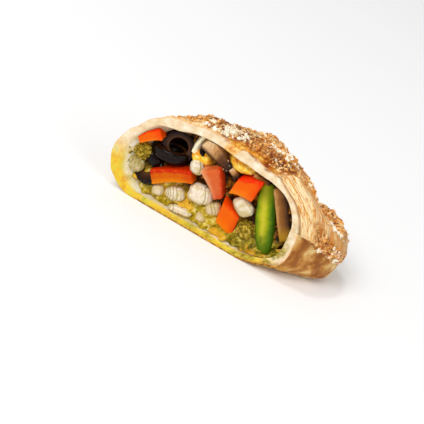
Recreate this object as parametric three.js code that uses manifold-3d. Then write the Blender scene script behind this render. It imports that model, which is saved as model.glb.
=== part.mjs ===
// Half of a rolled calzone, cut on a slant: a hollow dough roll with a second, overlapping layer of
// dough on its right flank, grated cheese baked on top, and a vegetable and cheese filling.
// Millimetres, +Z up. The cut faces -Y and the closed end points to +X and +Y.

import * as THREE from "three";
import { ParametricGeometry } from "three/addons/geometries/ParametricGeometry.js";
import { mergeVertices } from "three/addons/utils/BufferGeometryUtils.js";
import Module from "manifold-3d";

const { degToRad, radToDeg, clamp, lerp } = THREE.MathUtils;

// The roll's driving dimensions. s runs along the roll from the middle of the cut, n across it to
// the right, and phi round it: 0 on the right side, 90 degrees on top, 180 on the left.
const CUT_ANGLE = degToRad(50);
const CLOSED_END = 71;
const TIP = { n: 11, z: 13 };
const LEFT_SIDE = -34;
const RIGHT_SIDE = 29.3;
const END_SWELL = { by: 0.2, from: 34, to: 52 };
const SIDE_HEIGHT = 20;
const ROOF_HEIGHT = 54;
const RIDGE = -9;
const BASE_SINK = 2.2;

// From here on the ridge and the widest level draw towards the tip of the closed end.
const RIDGE_TURNS = 25;
const SIDE_TURNS = 20;

// How much lower the roof gets towards the cut's far corner, behind its ridge, and to the closed end,
// each between two places along the roll, and how far it crowns between them.
const ROOF_FALLS = {
  corner: { by: 6, from: -50, to: -12 },
  ridge: { by: 2.5, from: -10, to: 6 },
  end: { by: 25, from: 22, to: 76 },
};
const ROOF_CROWN = { by: 1.2, from: -14, full: -2, past: 4, to: 16 };

// The hollow that the roof sank into behind the flap: its first fall, its deepest part, where it
// rises again, and which degrees it takes in. Inside, half of it rises again.
const SAG = {
  first: { by: 2.8, from: 20, to: 34 },
  deep: { by: 7.4, from: 39.5, to: 45.5 },
  rise: { from: 53, to: 63 },
  around: { from: 37.5, full: 57.5, past: 115, to: 150 },
  inside: { from: 37, to: 46, rise: 0.5 },
};

// Where each side, the flap and the swellings start to round off to nothing at the closed end, and
// how square they stay.
const ROUNDING = {
  right: { start: 44.5, power: 2.5 },
  left: { start: 12, power: 2.1 },
  roof: { start: 46.5, power: 2.5 },
  base: { start: 52.5, power: 3.2 },
  flap: { start: 30, power: 2.2 },
  relief: { start: 45, power: 2 },
};

// The exponents of the section's superellipse: square at 0, round at 1.
const BULGE = { upperRight: 0.667, upperLeft: 0.976, lower: 0.69 };

// The dough: its wall, and the flap that overlaps it on the right flank.
const WALL = 3.3;
const ROOF_WALL = { by: 4.0, from: 40, full: 88, past: 114, to: 136 };
const END_WALL = 5;
const FLAP = 4.8;
const FLAP_LIP = { by: 0.45, from: 20, to: 46 };
const FLAP_GROOVE = 3;
const FLAP_CORNER = { from: 55, to: 61 };
const FLAP_MELT = { behind: 12, from: 60, to: 140 };
const FLAP_EDGE = { from: -0.02, to: 0.06 };
const SEAM = { atCut: 10, drop: 8.5, from: 34, to: 66 };
const RIM_DIP = { by: 2.6, from: 78, full: 92, past: 95, to: 125, behind: 15 };
const FURROW = { depth: 2, back: 6, halfWidth: 2.2, from: 59, full: 63, past: 70, to: 78 };

// The heights of the baked dough's swellings and pits.
const RELIEF = { swell: 0.55, pits: 0.3, from: 0.5, to: 6 };

// The filling's face lies behind the cut, and touching pieces keep a gap, which widens DEEP_FROM
// behind the cut.
const FILLING_RECESS = 4.6;
const CHEESE_BULGE = { by: 2, low: 6, high: 14, from: -22, to: -10 };
const OLIVE_HOLLOW = { x: -28, z: 31.5, wide: 12, high: 9, depth: 15, from: 0.45, to: 1.15 };
const LUMPS = { broad: 0.8, fine: 0.5 };
const GAP = 0.3;
const WALL_GAP = 0.9;
const DEEP_GAP = 2.2;
const DEEP_FROM = 14;
const PAST_CUT = 3;
const FACE_BLOCK = [112, 64];

// How finely the surfaces are split. The columns lie closer together near the flap's edge.
const COLUMNS = 56;
const COLUMN_CROWDING = 0.55;
const OUTER_ROWS = 22;
const FACE_ROWS = 4;
const INNER_ROWS = 9;
const FACE_SPLITS = [17, 1, 10];

// Crumbs of baked cheese: how many, how big, how far behind the cut their thick patch reaches, and
// between which columns it and the other crumbs lie.
const CRUMBS = {
  count: 42,
  seed: 20,
  small: 1.1,
  large: 2.2,
  patch: 15,
  bareEnd: 7,
  bareRim: 2.5,
  patchColumns: [0.22, 0.34],
  otherColumns: [0.12, 0.43],
};

const COLOURS = {
  crust: 0xd9a86a,
  filling: 0xb3a03c,
  redPepper: 0xe0400f,
  orangePepper: 0xf07414,
  pinkPepper: 0xd9603a,
  olive: 0x2b1c18,
  onion: 0xe6dccb,
  green: 0x7fa51e,
  mushroom: 0x8d6238,
  paleMushroom: 0xc79a6a,
  broccoli: 0x8d8434,
  stem: 0xd6cba0,
  cheese: 0xf3bd4c,
};

const ALONG = new THREE.Vector3(Math.sin(CUT_ANGLE), Math.cos(CUT_ANGLE), 0);
const ACROSS = new THREE.Vector3(Math.cos(CUT_ANGLE), -Math.sin(CUT_ANGLE), 0);

// ---------------------------------------------------------------- the roll's shape

// 0 before from, 1 after to, and a smooth step between them.
function ramp(x, from, to) {
  const t = clamp((x - from) / (to - from), 0, 1);
  return t * t * (3 - 2 * t);
}

// A fall or rise given by its height and its two ends.
function step(x, { by = 1, from, to }) {
  return by * ramp(x, from, to);
}

// 0 outside from and to, and by between full and past.
function hump(x, { by = 1, from, full, past, to }) {
  return by * ramp(x, from, full) * (1 - ramp(x, past, to));
}

// 1 up to start, and then a round fall to 0 at end.
function closing(s, { start, power }, end) {
  const t = clamp((s - start) / (end - start), 0, 1);
  return (1 - t ** power) ** (1 / power);
}

function signedPower(x, power) {
  return Math.sign(x) * Math.abs(x) ** power;
}

function roofHeight(s) {
  const { corner, ridge, end } = ROOF_FALLS;
  const towardsCorner = corner.by - step(s, corner);
  return ROOF_HEIGHT + hump(s, ROOF_CROWN) - towardsCorner - step(s, ridge) - step(s, end);
}

// How far the roof has sunk behind the flap. It swells again before the closed end.
function sagOutside(phi, s) {
  const fallen = step(s, SAG.first) + step(s, SAG.deep);
  return fallen * hump(radToDeg(phi), SAG.around) * (1 - step(s, SAG.rise));
}

function sagInside(s) {
  const risen = SAG.inside.rise * ramp(s, SAG.rise.from, CLOSED_END);
  return (SAG.first.by + SAG.deep.by) * step(s, SAG.inside) * (1 - risen);
}

// The roll's section at s, a lopsided superellipse, drawn in by wall on every side, with its roof
// sunk. It closes at end.
function section(phi, s, wall = 0, end = CLOSED_END, sunk = 0) {
  const c = Math.cos(phi);
  const up = Math.sin(phi);
  const rightSide = RIGHT_SIDE + step(s, END_SWELL) - wall;
  const right = TIP.n + (rightSide - TIP.n) * closing(s, ROUNDING.right, end);
  const left = TIP.n + (LEFT_SIDE + wall - TIP.n) * closing(s, ROUNDING.left, end);
  const ridge = clamp(lerp(RIDGE, TIP.n, ramp(s, RIDGE_TURNS, end)), left, right);
  const roof = TIP.z + (roofHeight(s) - sunk - wall - TIP.z) * closing(s, ROUNDING.roof, end);
  const side = lerp(SIDE_HEIGHT, TIP.z, ramp(s, SIDE_TURNS, end));
  const base = TIP.z - (TIP.z + BASE_SINK - wall) * closing(s, ROUNDING.base, end);
  const upper = c >= 0 ? BULGE.upperRight : BULGE.upperLeft;
  const power = up >= 0 ? upper : BULGE.lower;
  const reach = c >= 0 ? right - ridge : ridge - left;
  const rise = (up >= 0 ? roof - side : side - base) * signedPower(up, power);
  return { n: ridge + reach * signedPower(c, power), z: side + rise };
}

function sectionNormal(phi, s) {
  const turn = 1e-3;
  const before = section(phi - turn, s);
  const after = section(phi + turn, s);
  const length = Math.hypot(after.n - before.n, after.z - before.z) + 1e-9;
  return { n: (after.z - before.z) / length, z: (before.n - after.n) / length };
}

function seamAngle(s) {
  return degToRad(SEAM.atCut - SEAM.drop * step(s, SEAM));
}

// Columns are counted from the flap's lower edge, q from 0 to 1.
function columnAngle(q, s) {
  return seamAngle(s) + 2 * Math.PI * q - COLUMN_CROWDING * Math.sin(2 * Math.PI * q);
}

// At the cut the flap is a layer apart up to its corner; behind it, it melts into the roof.
function flapThickness(phi, s, fromCut) {
  const degrees = radToDeg(phi);
  const behind = ramp(fromCut, 0, FLAP_MELT.behind);
  const layer = (1 - step(degrees, FLAP_CORNER)) * (1 + step(degrees, FLAP_LIP));
  const melted = 1 - step(degrees, FLAP_MELT);
  const edge = step(phi - seamAngle(s), FLAP_EDGE) * closing(s, ROUNDING.flap, CLOSED_END);
  return FLAP * edge * lerp(layer, melted, behind);
}

// Low swellings and folds of the baked dough.
function relief(phi, s) {
  const swell = RELIEF.swell * Math.sin(0.21 * s + 2.1 * phi + 0.6) * Math.sin(0.13 * s - 3 * phi + 1.1);
  const pits = RELIEF.pits * Math.sin(0.62 * s + 5 * phi) * Math.cos(0.37 * s - 7 * phi + 0.4);
  return swell + pits;
}

// A short split that opened in the roof behind the cut, above the flap's corner.
function furrow(degrees, fromCut) {
  const across = (fromCut - FURROW.back) / FURROW.halfWidth;
  return FURROW.depth * hump(degrees, FURROW) * Math.exp(-across * across);
}

function outerPoint(q, s, fromCut) {
  const phi = columnAngle(q, s);
  const degrees = radToDeg(phi);
  const base = section(phi, s);
  const normal = sectionNormal(phi, s);
  const uneven = ramp(base.z, RELIEF.from, RELIEF.to) * closing(s, ROUNDING.relief, CLOSED_END);
  const out = flapThickness(phi, s, fromCut) + relief(phi, s) * uneven;
  const dipped = hump(degrees, RIM_DIP) * (1 - ramp(fromCut, 0, RIM_DIP.behind));
  const n = base.n + out * normal.n;
  const z = base.z + out * normal.z - dipped - furrow(degrees, fromCut);
  return { n, z: Math.max(z - sagOutside(phi, s), 0) };
}

// The wall is thickest along the roof.
function wallThickness(phi) {
  return WALL + hump(radToDeg(phi), ROOF_WALL);
}

function innerEnd(gap) {
  return CLOSED_END - END_WALL - gap;
}

function innerPoint(q, s, gap, end = innerEnd(gap)) {
  const phi = columnAngle(q, s);
  const wall = wallThickness(phi) + gap;
  const { n, z } = section(phi, s, wall, end, sagInside(s));
  return { n, z: Math.max(z, wall) };
}

// The s at which a point of the roll, given by its column, lies depth behind the cut plane.
function stationAt(depth, pointAt) {
  let s = 0;
  for (let i = 0; i < 60; i++) {
    const wanted = (depth + pointAt(s).n * Math.sin(CUT_ANGLE)) / Math.cos(CUT_ANGLE);
    s = lerp(s, wanted, 0.4);
  }
  return s;
}

function toRoll(point, s, target) {
  return target
    .set(0, 0, point.z)
    .addScaledVector(ALONG, s)
    .addScaledVector(ACROSS, point.n);
}

function onCutPlane(point, depth, target) {
  return toRoll(point, (depth + point.n * Math.sin(CUT_ANGLE)) / Math.cos(CUT_ANGLE), target);
}

function between(a, b, t) {
  return { n: lerp(a.n, b.n, t), z: lerp(a.z, b.z, t) };
}

// ---------------------------------------------------------------- solids

const wasm = await Module();
wasm.setup();

function toSolid(geometry, matrix = new THREE.Matrix4()) {
  const bare = geometry.clone();
  bare.deleteAttribute("normal");
  bare.deleteAttribute("uv");
  bare.applyMatrix4(matrix);
  const merged = mergeVertices(bare, 1e-3);
  const index = merged.index.array;
  const triVerts = [];
  for (let i = 0; i < index.length; i += 3) {
    const [a, b, c] = index.slice(i, i + 3);
    if (a !== b && b !== c && c !== a) triVerts.push(a, b, c);
  }
  const vertProperties = merged.attributes.position.array;
  return new wasm.Manifold(
    new wasm.Mesh({ numProp: 3, vertProperties, triVerts: new Uint32Array(triVerts) }),
  );
}

function toGeometry(solid, matrix = new THREE.Matrix4()) {
  const { vertProperties, triVerts } = solid.getMesh();
  const geometry = new THREE.BufferGeometry();
  geometry.setAttribute("position", new THREE.BufferAttribute(vertProperties, 3));
  geometry.setIndex(new THREE.BufferAttribute(triVerts, 1));
  geometry.applyMatrix4(matrix);
  geometry.computeVertexNormals();
  return geometry;
}

// Moves each corner of a geometry by a function of its place.
function reshape(geometry, move) {
  const position = geometry.attributes.position;
  const corner = new THREE.Vector3();
  for (let i = 0; i < position.count; i++) {
    move(corner.fromBufferAttribute(position, i));
    position.setXYZ(i, corner.x, corner.y, corner.z);
  }
  return geometry;
}

function largestBody(solid) {
  const bodies = solid.decompose();
  return bodies.reduce((best, body) => (body.volume() > best.volume() ? body : best));
}

// A closed surface of rows of points: pointAt(column, row, target), with a single point in the
// first and in the last row.
function closedSurface(columns, rows, pointAt) {
  const place = (u, v, target) => {
    const column = Math.round(u * columns) % columns;
    pointAt(column / columns, Math.round(v * rows), target);
  };
  return new ParametricGeometry(place, columns, rows);
}

function material(colour, roughness) {
  return new THREE.MeshStandardMaterial({ color: colour, roughness, metalness: 0 });
}

// ---------------------------------------------------------------- crust

// One column of the dough cup: up the outside from the closed end to the cut, across the cut
// face, with the groove between wall and flap, and down the inside to the closed end again.
function crustPoint(q, row, target) {
  const cutStation = stationAt(0, (s) => outerPoint(q, s, 0));
  if (row <= OUTER_ROWS) {
    const t = Math.sin(((1 - row / OUTER_ROWS) * Math.PI) / 2);
    const s = lerp(cutStation, CLOSED_END, t);
    return toRoll(outerPoint(q, s, s - cutStation), s, target);
  }
  const innerStation = stationAt(0, (s) => innerPoint(q, s, 0));
  if (row >= OUTER_ROWS + FACE_ROWS) {
    const t = Math.sin((((row - OUTER_ROWS - FACE_ROWS) / INNER_ROWS) * Math.PI) / 2);
    const s = lerp(innerStation, innerEnd(0), t);
    return toRoll(innerPoint(q, s, 0), s, target);
  }
  const outer = outerPoint(q, cutStation, 0);
  const inner = innerPoint(q, innerStation, 0);
  const phi = columnAngle(q, cutStation);
  const onWall = section(phi, cutStation);
  const split = { n: onWall.n, z: onWall.z - sagOutside(phi, cutStation) };
  const apart = clamp(flapThickness(phi, cutStation, 0) / FLAP, 0, 1);
  const layered = [between(split, outer, 0.25), split, between(split, inner, 0.25)];
  const across = row - OUTER_ROWS;
  const plain = between(outer, inner, across / FACE_ROWS);
  const depth = across === FACE_ROWS / 2 ? FLAP_GROOVE * apart : 0;
  return onCutPlane(between(plain, layered[across - 1], apart), depth, target);
}

// The same draw of numbers each time, from 0 to 1.
function seededRandom(seed) {
  let state = seed;
  return () => {
    state = (state * 1664525 + 1013904223) % 4294967296;
    return state / 4294967296;
  };
}

// Crumbs of grated cheese, half sunk in the roof and thickest along its ridge behind the cut.
function crumbSolids() {
  const random = seededRandom(CRUMBS.seed);
  const crumbs = [];
  for (let i = 0; i < CRUMBS.count; i++) {
    const inPatch = random() < 0.5;
    const [first, last] = inPatch ? CRUMBS.patchColumns : CRUMBS.otherColumns;
    const q = lerp(first, last, random());
    const cutStation = stationAt(0, (s) => outerPoint(q, s, 0));
    const reach = inPatch ? CRUMBS.patch : CLOSED_END - CRUMBS.bareEnd - cutStation;
    const s = cutStation + lerp(CRUMBS.bareRim, reach, random());
    const size = lerp(CRUMBS.small, CRUMBS.large, random() ** 2);
    const geometry = new THREE.IcosahedronGeometry(size, 0);
    geometry.scale(1, lerp(0.7, 1, random()), 0.8);
    const turn = new THREE.Euler(random() * 3, random() * 3, random() * 3);
    const spot = toRoll(outerPoint(q, s, s - cutStation), s, new THREE.Vector3());
    const matrix = new THREE.Matrix4().makeRotationFromEuler(turn).setPosition(spot);
    crumbs.push(toSolid(geometry, matrix));
  }
  return crumbs;
}

function crustSolid() {
  const rows = OUTER_ROWS + FACE_ROWS + INNER_ROWS;
  const dough = toSolid(closedSurface(COLUMNS, rows, crustPoint));
  return largestBody(crumbSolids().reduce((whole, crumb) => whole.add(crumb), dough));
}

// ---------------------------------------------------------------- filling

// How far the filling's bumpy face lies behind the cut: deepest above the olives, and bulging with
// melted cheese at the bottom.
function fillingDepth(x, z) {
  const broad = LUMPS.broad * Math.sin(0.55 * x + 1) * Math.cos(0.6 * z + 0.4);
  const fine = LUMPS.fine * Math.sin(1.15 * x - 0.9 * z);
  const { wide, high, depth } = OLIVE_HOLLOW;
  const away = Math.hypot((x - OLIVE_HOLLOW.x) / wide, (z - OLIVE_HOLLOW.z) / high);
  const hollow = depth * (1 - ramp(away, OLIVE_HOLLOW.from, OLIVE_HOLLOW.to));
  const bulge = step(x, CHEESE_BULGE) * (1 - ramp(z, CHEESE_BULGE.low, CHEESE_BULGE.high));
  return FILLING_RECESS + broad + fine + hollow - bulge;
}

// One column of the space inside the dough, from its closed end along the wall, past the cut, and
// to the middle of its open side. Its rows lie on those of the dough's inside.
function hollowPoint(q, row, target) {
  const cutStation = stationAt(0, (s) => innerPoint(q, s, 0));
  const gapAt = (s) => WALL_GAP + DEEP_GAP * ramp(s - cutStation, DEEP_FROM, 2 * DEEP_FROM);
  const wallPoint = (s) => innerPoint(q, s, gapAt(s), innerEnd(WALL_GAP));
  if (row <= INNER_ROWS) {
    const t = Math.sin(((1 - row / INNER_ROWS) * Math.PI) / 2);
    const s = lerp(cutStation, innerEnd(WALL_GAP), t);
    return toRoll(wallPoint(s), s, target);
  }
  const pastCut = stationAt(-PAST_CUT, wallPoint);
  if (row === INNER_ROWS + 1) return toRoll(wallPoint(pastCut), pastCut, target);
  return onCutPlane({ n: RIDGE, z: SIDE_HEIGHT }, -PAST_CUT, target);
}

// What is taken off the filling to leave its face: a block whose back is the bumpy surface.
function faceCutter() {
  const [width, height] = FACE_BLOCK;
  const geometry = new THREE.BoxGeometry(width, 2 * PAST_CUT, height, ...FACE_SPLITS);
  geometry.translate(0, -PAST_CUT, height / 2);
  return toSolid(
    reshape(geometry, (corner) => {
      if (corner.y > -PAST_CUT) corner.y = fillingDepth(corner.x, corner.z);
    }),
  );
}

// ---------------------------------------------------------------- chunks

// A crisp cut piece: narrower towards +X by taper, leaning by skew, and arched upwards by arch.
function dice([width, depth, height], { taper = 0, skew = 0, arch = 0 } = {}) {
  return (grow) => {
    const size = [width, depth, height].map((side) => side + 2 * grow);
    return reshape(new THREE.BoxGeometry(...size, 3, 2, 2), (corner) => {
      const along = corner.x / size[0];
      corner.z *= 1 - taper * (along + 0.5);
      corner.x += skew * corner.z;
      corner.z += arch * (1 - 4 * along * along) - arch / 2;
    });
  };
}

// A soft-cornered piece, between a ball and a block.
function pebble([width, depth, height], softness = 0.6) {
  return (grow) =>
    reshape(new THREE.SphereGeometry(1, 8, 6), (corner) => {
      corner.x = signedPower(corner.x, softness) * (width / 2 + grow);
      corner.y = signedPower(corner.y, softness) * (depth / 2 + grow);
      corner.z = signedPower(corner.z, softness) * (height / 2 + grow);
    });
}

// A slice across a pitted olive, its axis along Z, pressed flatter from front to back by squash.
function oliveRing({ radius, hole, thickness, squash = 1, soft = 1.2 }) {
  return (grow) => {
    const outer = radius + grow;
    const inner = hole - grow;
    const half = thickness / 2 + grow;
    const profile = [
      [inner, half - soft / 2],
      [inner + soft / 2, half],
      [outer - soft, half],
      [outer, half - soft],
      [outer, soft - half],
      [outer - soft, -half],
      [inner + soft / 2, -half],
      [inner, soft / 2 - half],
      [inner, half - soft / 2],
    ].map(([r, z]) => new THREE.Vector2(r, z));
    return new THREE.LatheGeometry(profile.reverse(), 14).rotateX(Math.PI / 2).scale(1, squash, 1);
  };
}

// A strip of pepper wall, blunt at its ends, bowed towards the front, its sides curling back.
function strip([width, depth, length], { bow, curl, tipWidth, bluntness }) {
  return (grow) => {
    const size = [width, depth, length].map((side) => side + 2 * grow);
    return reshape(new THREE.BoxGeometry(...size, 2, 1, 7), (corner) => {
      const along = corner.z / size[2];
      const belly = 1 - 4 * along * along;
      corner.y -= bow * (belly - 0.5) - curl * ((2 * corner.x) / size[0]) ** 2;
      corner.x *= lerp(tipWidth / width, 1, belly ** bluntness);
    });
  };
}

// A broccoli head of small buds, and how far they stand out, as a share of its radius.
const BUD_HEIGHT = 0.09;

function floret(radius) {
  return (grow) =>
    reshape(new THREE.IcosahedronGeometry(radius + grow, 2), (corner) => {
      const waves = [2.1 * corner.x + 1, 2.3 * corner.y, 2.2 * corner.z + 2].map(Math.sin);
      corner.multiplyScalar(1 + BUD_HEIGHT * waves[0] * waves[1] * waves[2]);
    });
}

// How rough the surfaces are.
const PEPPER = 0.35;
const WET = 0.25;
const DRY = 0.6;
const { redPepper, orangePepper, pinkPepper, olive, onion, green, mushroom } = COLOURS;
const { paleMushroom, broccoli, stem, cheese } = COLOURS;

// Every chunk that shows at the cut: its place and turn in the roll, in mm and degrees. A chunk
// further down the list gives way where two would touch.
const CHUNKS = [
  { name: "pepper_centre", at: [-21.8, 4.8, 20.0], turn: [0, -30, 0], colour: orangePepper,
    shine: PEPPER, shape: dice([21.2, 8, 7.6], { arch: 1, taper: 0.2 }) },
  { name: "olive_back", at: [-25.6, 7.9, 33.0], turn: [80, 6, 0], colour: olive,
    shine: WET, shape: oliveRing({ radius: 8.7, hole: 4.4, thickness: 3.6, squash: 0.92 }) },
  { name: "olive_front", at: [-28.1, 8.1, 28.0], turn: [0, -7, 0], colour: olive,
    shine: WET, shape: oliveRing({ radius: 9.9, hole: 5.6, thickness: 5.6, squash: 0.74 }) },
  { name: "olive_left", at: [-33.8, 6.8, 15.2], turn: [62, -20, 0], colour: olive,
    shine: WET, shape: oliveRing({ radius: 8, hole: 1.8, thickness: 5.4 }) },
  { name: "pepper_left", at: [-39.1, 4.3, 32.9], turn: [0, -42, 0], colour: redPepper,
    shine: PEPPER, shape: dice([12.2, 7, 4.2], { arch: 0.4, taper: -0.42 }) },
  { name: "pepper_tall", at: [-1.4, 4.0, 28.1], turn: [0, 54, 8], colour: pinkPepper,
    shine: PEPPER, shape: dice([15.3, 6.5, 10], { arch: 0.4, taper: 0.55 }) },
  { name: "pepper_right", at: [12.9, 4.3, 34.2], turn: [0, -14, 0], colour: redPepper,
    shine: PEPPER, shape: dice([12.1, 7, 8.6], { arch: 0.8, taper: -0.31, skew: 0.4 }) },
  { name: "pepper_low", at: [10.8, 5.0, 14.8], turn: [0, 29, 15], colour: orangePepper,
    shine: PEPPER, shape: dice([11.2, 6.5, 11], { arch: 0.5, skew: -0.58 }) },
  { name: "pepper_green", at: [27.3, 4.4, 24.2], turn: [0, -21, 4], colour: green,
    shine: PEPPER,
    shape: strip([9.4, 4.6, 36.5], { bow: 2, curl: 1.2, tipWidth: 3.6, bluntness: 0.36 }) },
  { name: "mushroom_right", at: [33.8, 6.2, 30.6], turn: [0, -31, 0], colour: mushroom,
    shine: WET, shape: dice([6.4, 7, 26.4]) },
  { name: "mushroom_top", at: [-6.0, 5.8, 41.2], turn: [5, 28, 7], colour: paleMushroom,
    shine: WET, shape: dice([17.3, 7, 7.7], { arch: 0.4, taper: 0.3 }) },
  { name: "mushroom_stem", at: [4.4, 6.2, 36.4], turn: [0, 30, 0], colour: paleMushroom,
    shine: WET, shape: dice([6, 5, 3.2]) },
  { name: "mushroom_sliver", at: [17.8, 5.4, 41.2], turn: [0, 2, 0], colour: mushroom,
    shine: WET, shape: dice([9, 5, 2.2]) },
  { name: "cheese_top", at: [8.2, 5.6, 41.4], turn: [0, 4, 0], colour: cheese,
    shine: WET, shape: pebble([9, 6, 3.6], 0.8) },
  { name: "cheese_middle", at: [-13.9, 6.2, 35.2], turn: [0, 10, 0], colour: cheese,
    shine: WET, shape: pebble([9.4, 5, 4.8], 0.8) },
  { name: "olive_bit", at: [-13.4, 5.4, 37.6], turn: [20, 50, 0], colour: olive,
    shine: WET, shape: pebble([4.2, 4, 2.4], 0.8) },
  { name: "olive_under", at: [-34.0, 6.2, 21.4], turn: [0, 30, 0], colour: olive,
    shine: WET, shape: pebble([10, 6.4, 7], 0.9) },
  { name: "olive_right", at: [37.4, 8.2, 15.6], turn: [0, -20, 0], colour: olive,
    shine: WET, shape: pebble([7, 6, 9], 0.8) },
  { name: "onion_upper", at: [-13.0, 4.4, 29.8], turn: [0, -12, 10], colour: onion,
    shine: WET, shape: pebble([6.6, 5, 7.4], 0.5) },
  { name: "onion_left", at: [-25.6, 4.4, 8.9], turn: [0, -10, 0], colour: onion,
    shine: WET, shape: pebble([6, 5.4, 6.4], 0.6) },
  { name: "onion_layers", at: [-17.2, 4.6, 11.6], turn: [0, -18, 0], colour: onion,
    shine: WET, shape: pebble([10.4, 6.2, 7.4], 0.6) },
  { name: "onion_bright", at: [-6.0, 4.6, 18.2], turn: [0, -12, 0], colour: onion,
    shine: WET, shape: pebble([12.2, 7, 9.8], 0.6) },
  { name: "onion_small", at: [2.8, 4.4, 14.8], turn: [0, -30, 0], colour: onion,
    shine: WET, shape: pebble([7.4, 5.4, 6.8], 0.6) },
  { name: "onion_right", at: [15.2, 5.2, 23.6], turn: [0, 32, 0], colour: onion,
    shine: WET, shape: pebble([10.4, 6, 8.6], 0.5) },
  { name: "onion_sliver", at: [-11.0, 3.8, 5.8], turn: [0, -8, 0], colour: onion,
    shine: WET, shape: pebble([12.6, 5, 4.2], 0.7) },
  { name: "onion_low", at: [-1.0, 4.4, 7.4], turn: [0, 0, 0], colour: onion,
    shine: WET, shape: pebble([5.4, 5, 4.2], 0.7) },
  { name: "broccoli_left", at: [-40.0, 4.8, 23.4], turn: [0, 0, 0], colour: broccoli,
    shine: DRY, shape: floret(4.9) },
  { name: "broccoli_stem", at: [-40.8, 3.8, 15.8], turn: [0, -20, 0], colour: stem,
    shine: WET, shape: pebble([8.6, 5, 7.6], 0.7) },
  { name: "broccoli_right", at: [21.0, 5.6, 13.4], turn: [0, 0, 0], colour: broccoli,
    shine: DRY, shape: floret(5.2) },
];

function chunkMatrix({ at, turn }) {
  const euler = new THREE.Euler(...turn.map(degToRad));
  return new THREE.Matrix4().makeRotationFromEuler(euler).setPosition(...at);
}

// ---------------------------------------------------------------- the whole

function buildRoll() {
  const roll = new THREE.Group();
  const hollow = toSolid(closedSurface(COLUMNS, INNER_ROWS + 2, hollowPoint));
  let core = hollow.subtract(faceCutter());
  let taken = null;
  for (const chunk of CHUNKS) {
    const matrix = chunkMatrix(chunk);
    const grown = toSolid(chunk.shape(GAP), matrix);
    let solid = toSolid(chunk.shape(0), matrix).intersect(hollow);
    if (taken) solid = solid.subtract(taken);
    const mesh = new THREE.Mesh(
      toGeometry(largestBody(solid), matrix.clone().invert()),
      material(chunk.colour, chunk.shine),
    );
    mesh.name = chunk.name;
    mesh.position.set(...chunk.at);
    mesh.rotation.set(...chunk.turn.map(degToRad));
    roll.add(mesh);
    core = core.subtract(grown);
    taken = taken ? taken.add(grown) : grown;
  }
  const filling = new THREE.Mesh(toGeometry(largestBody(core)), material(COLOURS.filling, WET));
  filling.name = "filling";
  const crust = new THREE.Mesh(toGeometry(crustSolid()), material(COLOURS.crust, DRY));
  crust.name = "crust";
  roll.add(crust, filling);
  return roll;
}

// The part's origin is the middle of the bottom of its box.
const roll = buildRoll();
const box = new THREE.Box3().setFromObject(roll, true);
const middle = box.getCenter(new THREE.Vector3());
roll.position.set(-middle.x, -middle.y, -box.min.z);

const part = new THREE.Group();
part.add(roll);

export default part;
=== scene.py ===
import math

import bmesh
import bpy
import numpy as np
from mathutils import Euler, Matrix, Vector


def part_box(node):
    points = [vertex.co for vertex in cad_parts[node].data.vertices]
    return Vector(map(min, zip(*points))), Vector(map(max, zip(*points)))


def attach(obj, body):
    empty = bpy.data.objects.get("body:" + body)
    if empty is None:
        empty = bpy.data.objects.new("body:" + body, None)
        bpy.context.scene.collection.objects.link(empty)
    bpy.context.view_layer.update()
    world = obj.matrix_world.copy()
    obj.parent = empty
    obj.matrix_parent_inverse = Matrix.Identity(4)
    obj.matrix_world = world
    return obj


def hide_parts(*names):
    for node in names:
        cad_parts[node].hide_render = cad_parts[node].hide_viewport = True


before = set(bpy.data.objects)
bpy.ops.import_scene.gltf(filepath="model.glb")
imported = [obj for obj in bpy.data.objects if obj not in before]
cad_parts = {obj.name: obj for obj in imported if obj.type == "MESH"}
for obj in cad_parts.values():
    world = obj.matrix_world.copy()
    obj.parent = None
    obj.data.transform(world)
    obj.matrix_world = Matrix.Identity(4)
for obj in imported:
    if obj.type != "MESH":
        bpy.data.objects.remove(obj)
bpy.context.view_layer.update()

# ---------------------------------------------------------------- the dough roll
# Half of a roll of pizza dough, cut on a slant after baking. The dough went once round the filling
# and its loose edge overlaps the right flank as a flap, which baked into the roof. The cut shows the
# pale crumb of both layers, and the inside is moist from the filling.

# The roll's own frame is in mm: the middle of the cut at the bottom. s runs along the roll, n across
# it, and phi round it, from 0 on the right over 90 degrees on top to 180 on the left.
MIDDLE_OF_CUT = Vector((-6.8674, -25.5263, 0))
CUT_ANGLE = math.radians(50)
CLOSED_END = 71
TIP_N, TIP_Z = 11, 13
LEFT_SIDE, RIGHT_SIDE, END_SWELL = -34, 29.3, 0.2
SIDE_HEIGHT, ROOF_HEIGHT, RIDGE, BASE_SINK = 20, 54, -9, 2.2
CORNER_FALL, RIDGE_FALL, END_FALL, CROWN = 6, 2.5, 25, 1.2
FIRST_SAG, DEEP_SAG, INNER_SAG, SPLIT_DEPTH, RIM_DIP = 2.8, 7.4, 10.2, 2, 2.6
WALL, ROOF_WALL, END_WALL = 3.3, 4.0, 5
FLAP, FLAP_LIP, FLAP_GROOVE, FLAP_CORNER, FLAP_MELT = 4.8, 0.45, 2.4, 58, 12
SEAM_AT_CUT, SEAM_DROP, CROWDING = 10, 8.5, 0.55
SWELLS, PITS = 0.55, 0.3
ROLL_TO_PART = Matrix.Scale(0.001, 4) @ Matrix.Translation(MIDDLE_OF_CUT)
ALONG = np.array([math.sin(CUT_ANGLE), math.cos(CUT_ANGLE), 0])
ACROSS = np.array([math.cos(CUT_ANGLE), -math.sin(CUT_ANGLE), 0])


def ramp(x, start, end):
    t = np.clip((x - start) / (end - start), 0, 1)
    return t * t * (3 - 2 * t)


def patch(x, rise, top, fall, end):
    """1 from top to fall, and 0 before rise and after end."""
    return ramp(x, rise, top) * (1 - ramp(x, fall, end))


def closing(s, start, power, end):
    t = np.clip((s - start) / (end - start), 0, 1)
    return (1 - t**power) ** (1 / power)


def mix(a, b, t):
    return a + (b - a) * t


def signed_power(x, power):
    return np.sign(x) * np.abs(x) ** power


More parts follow.
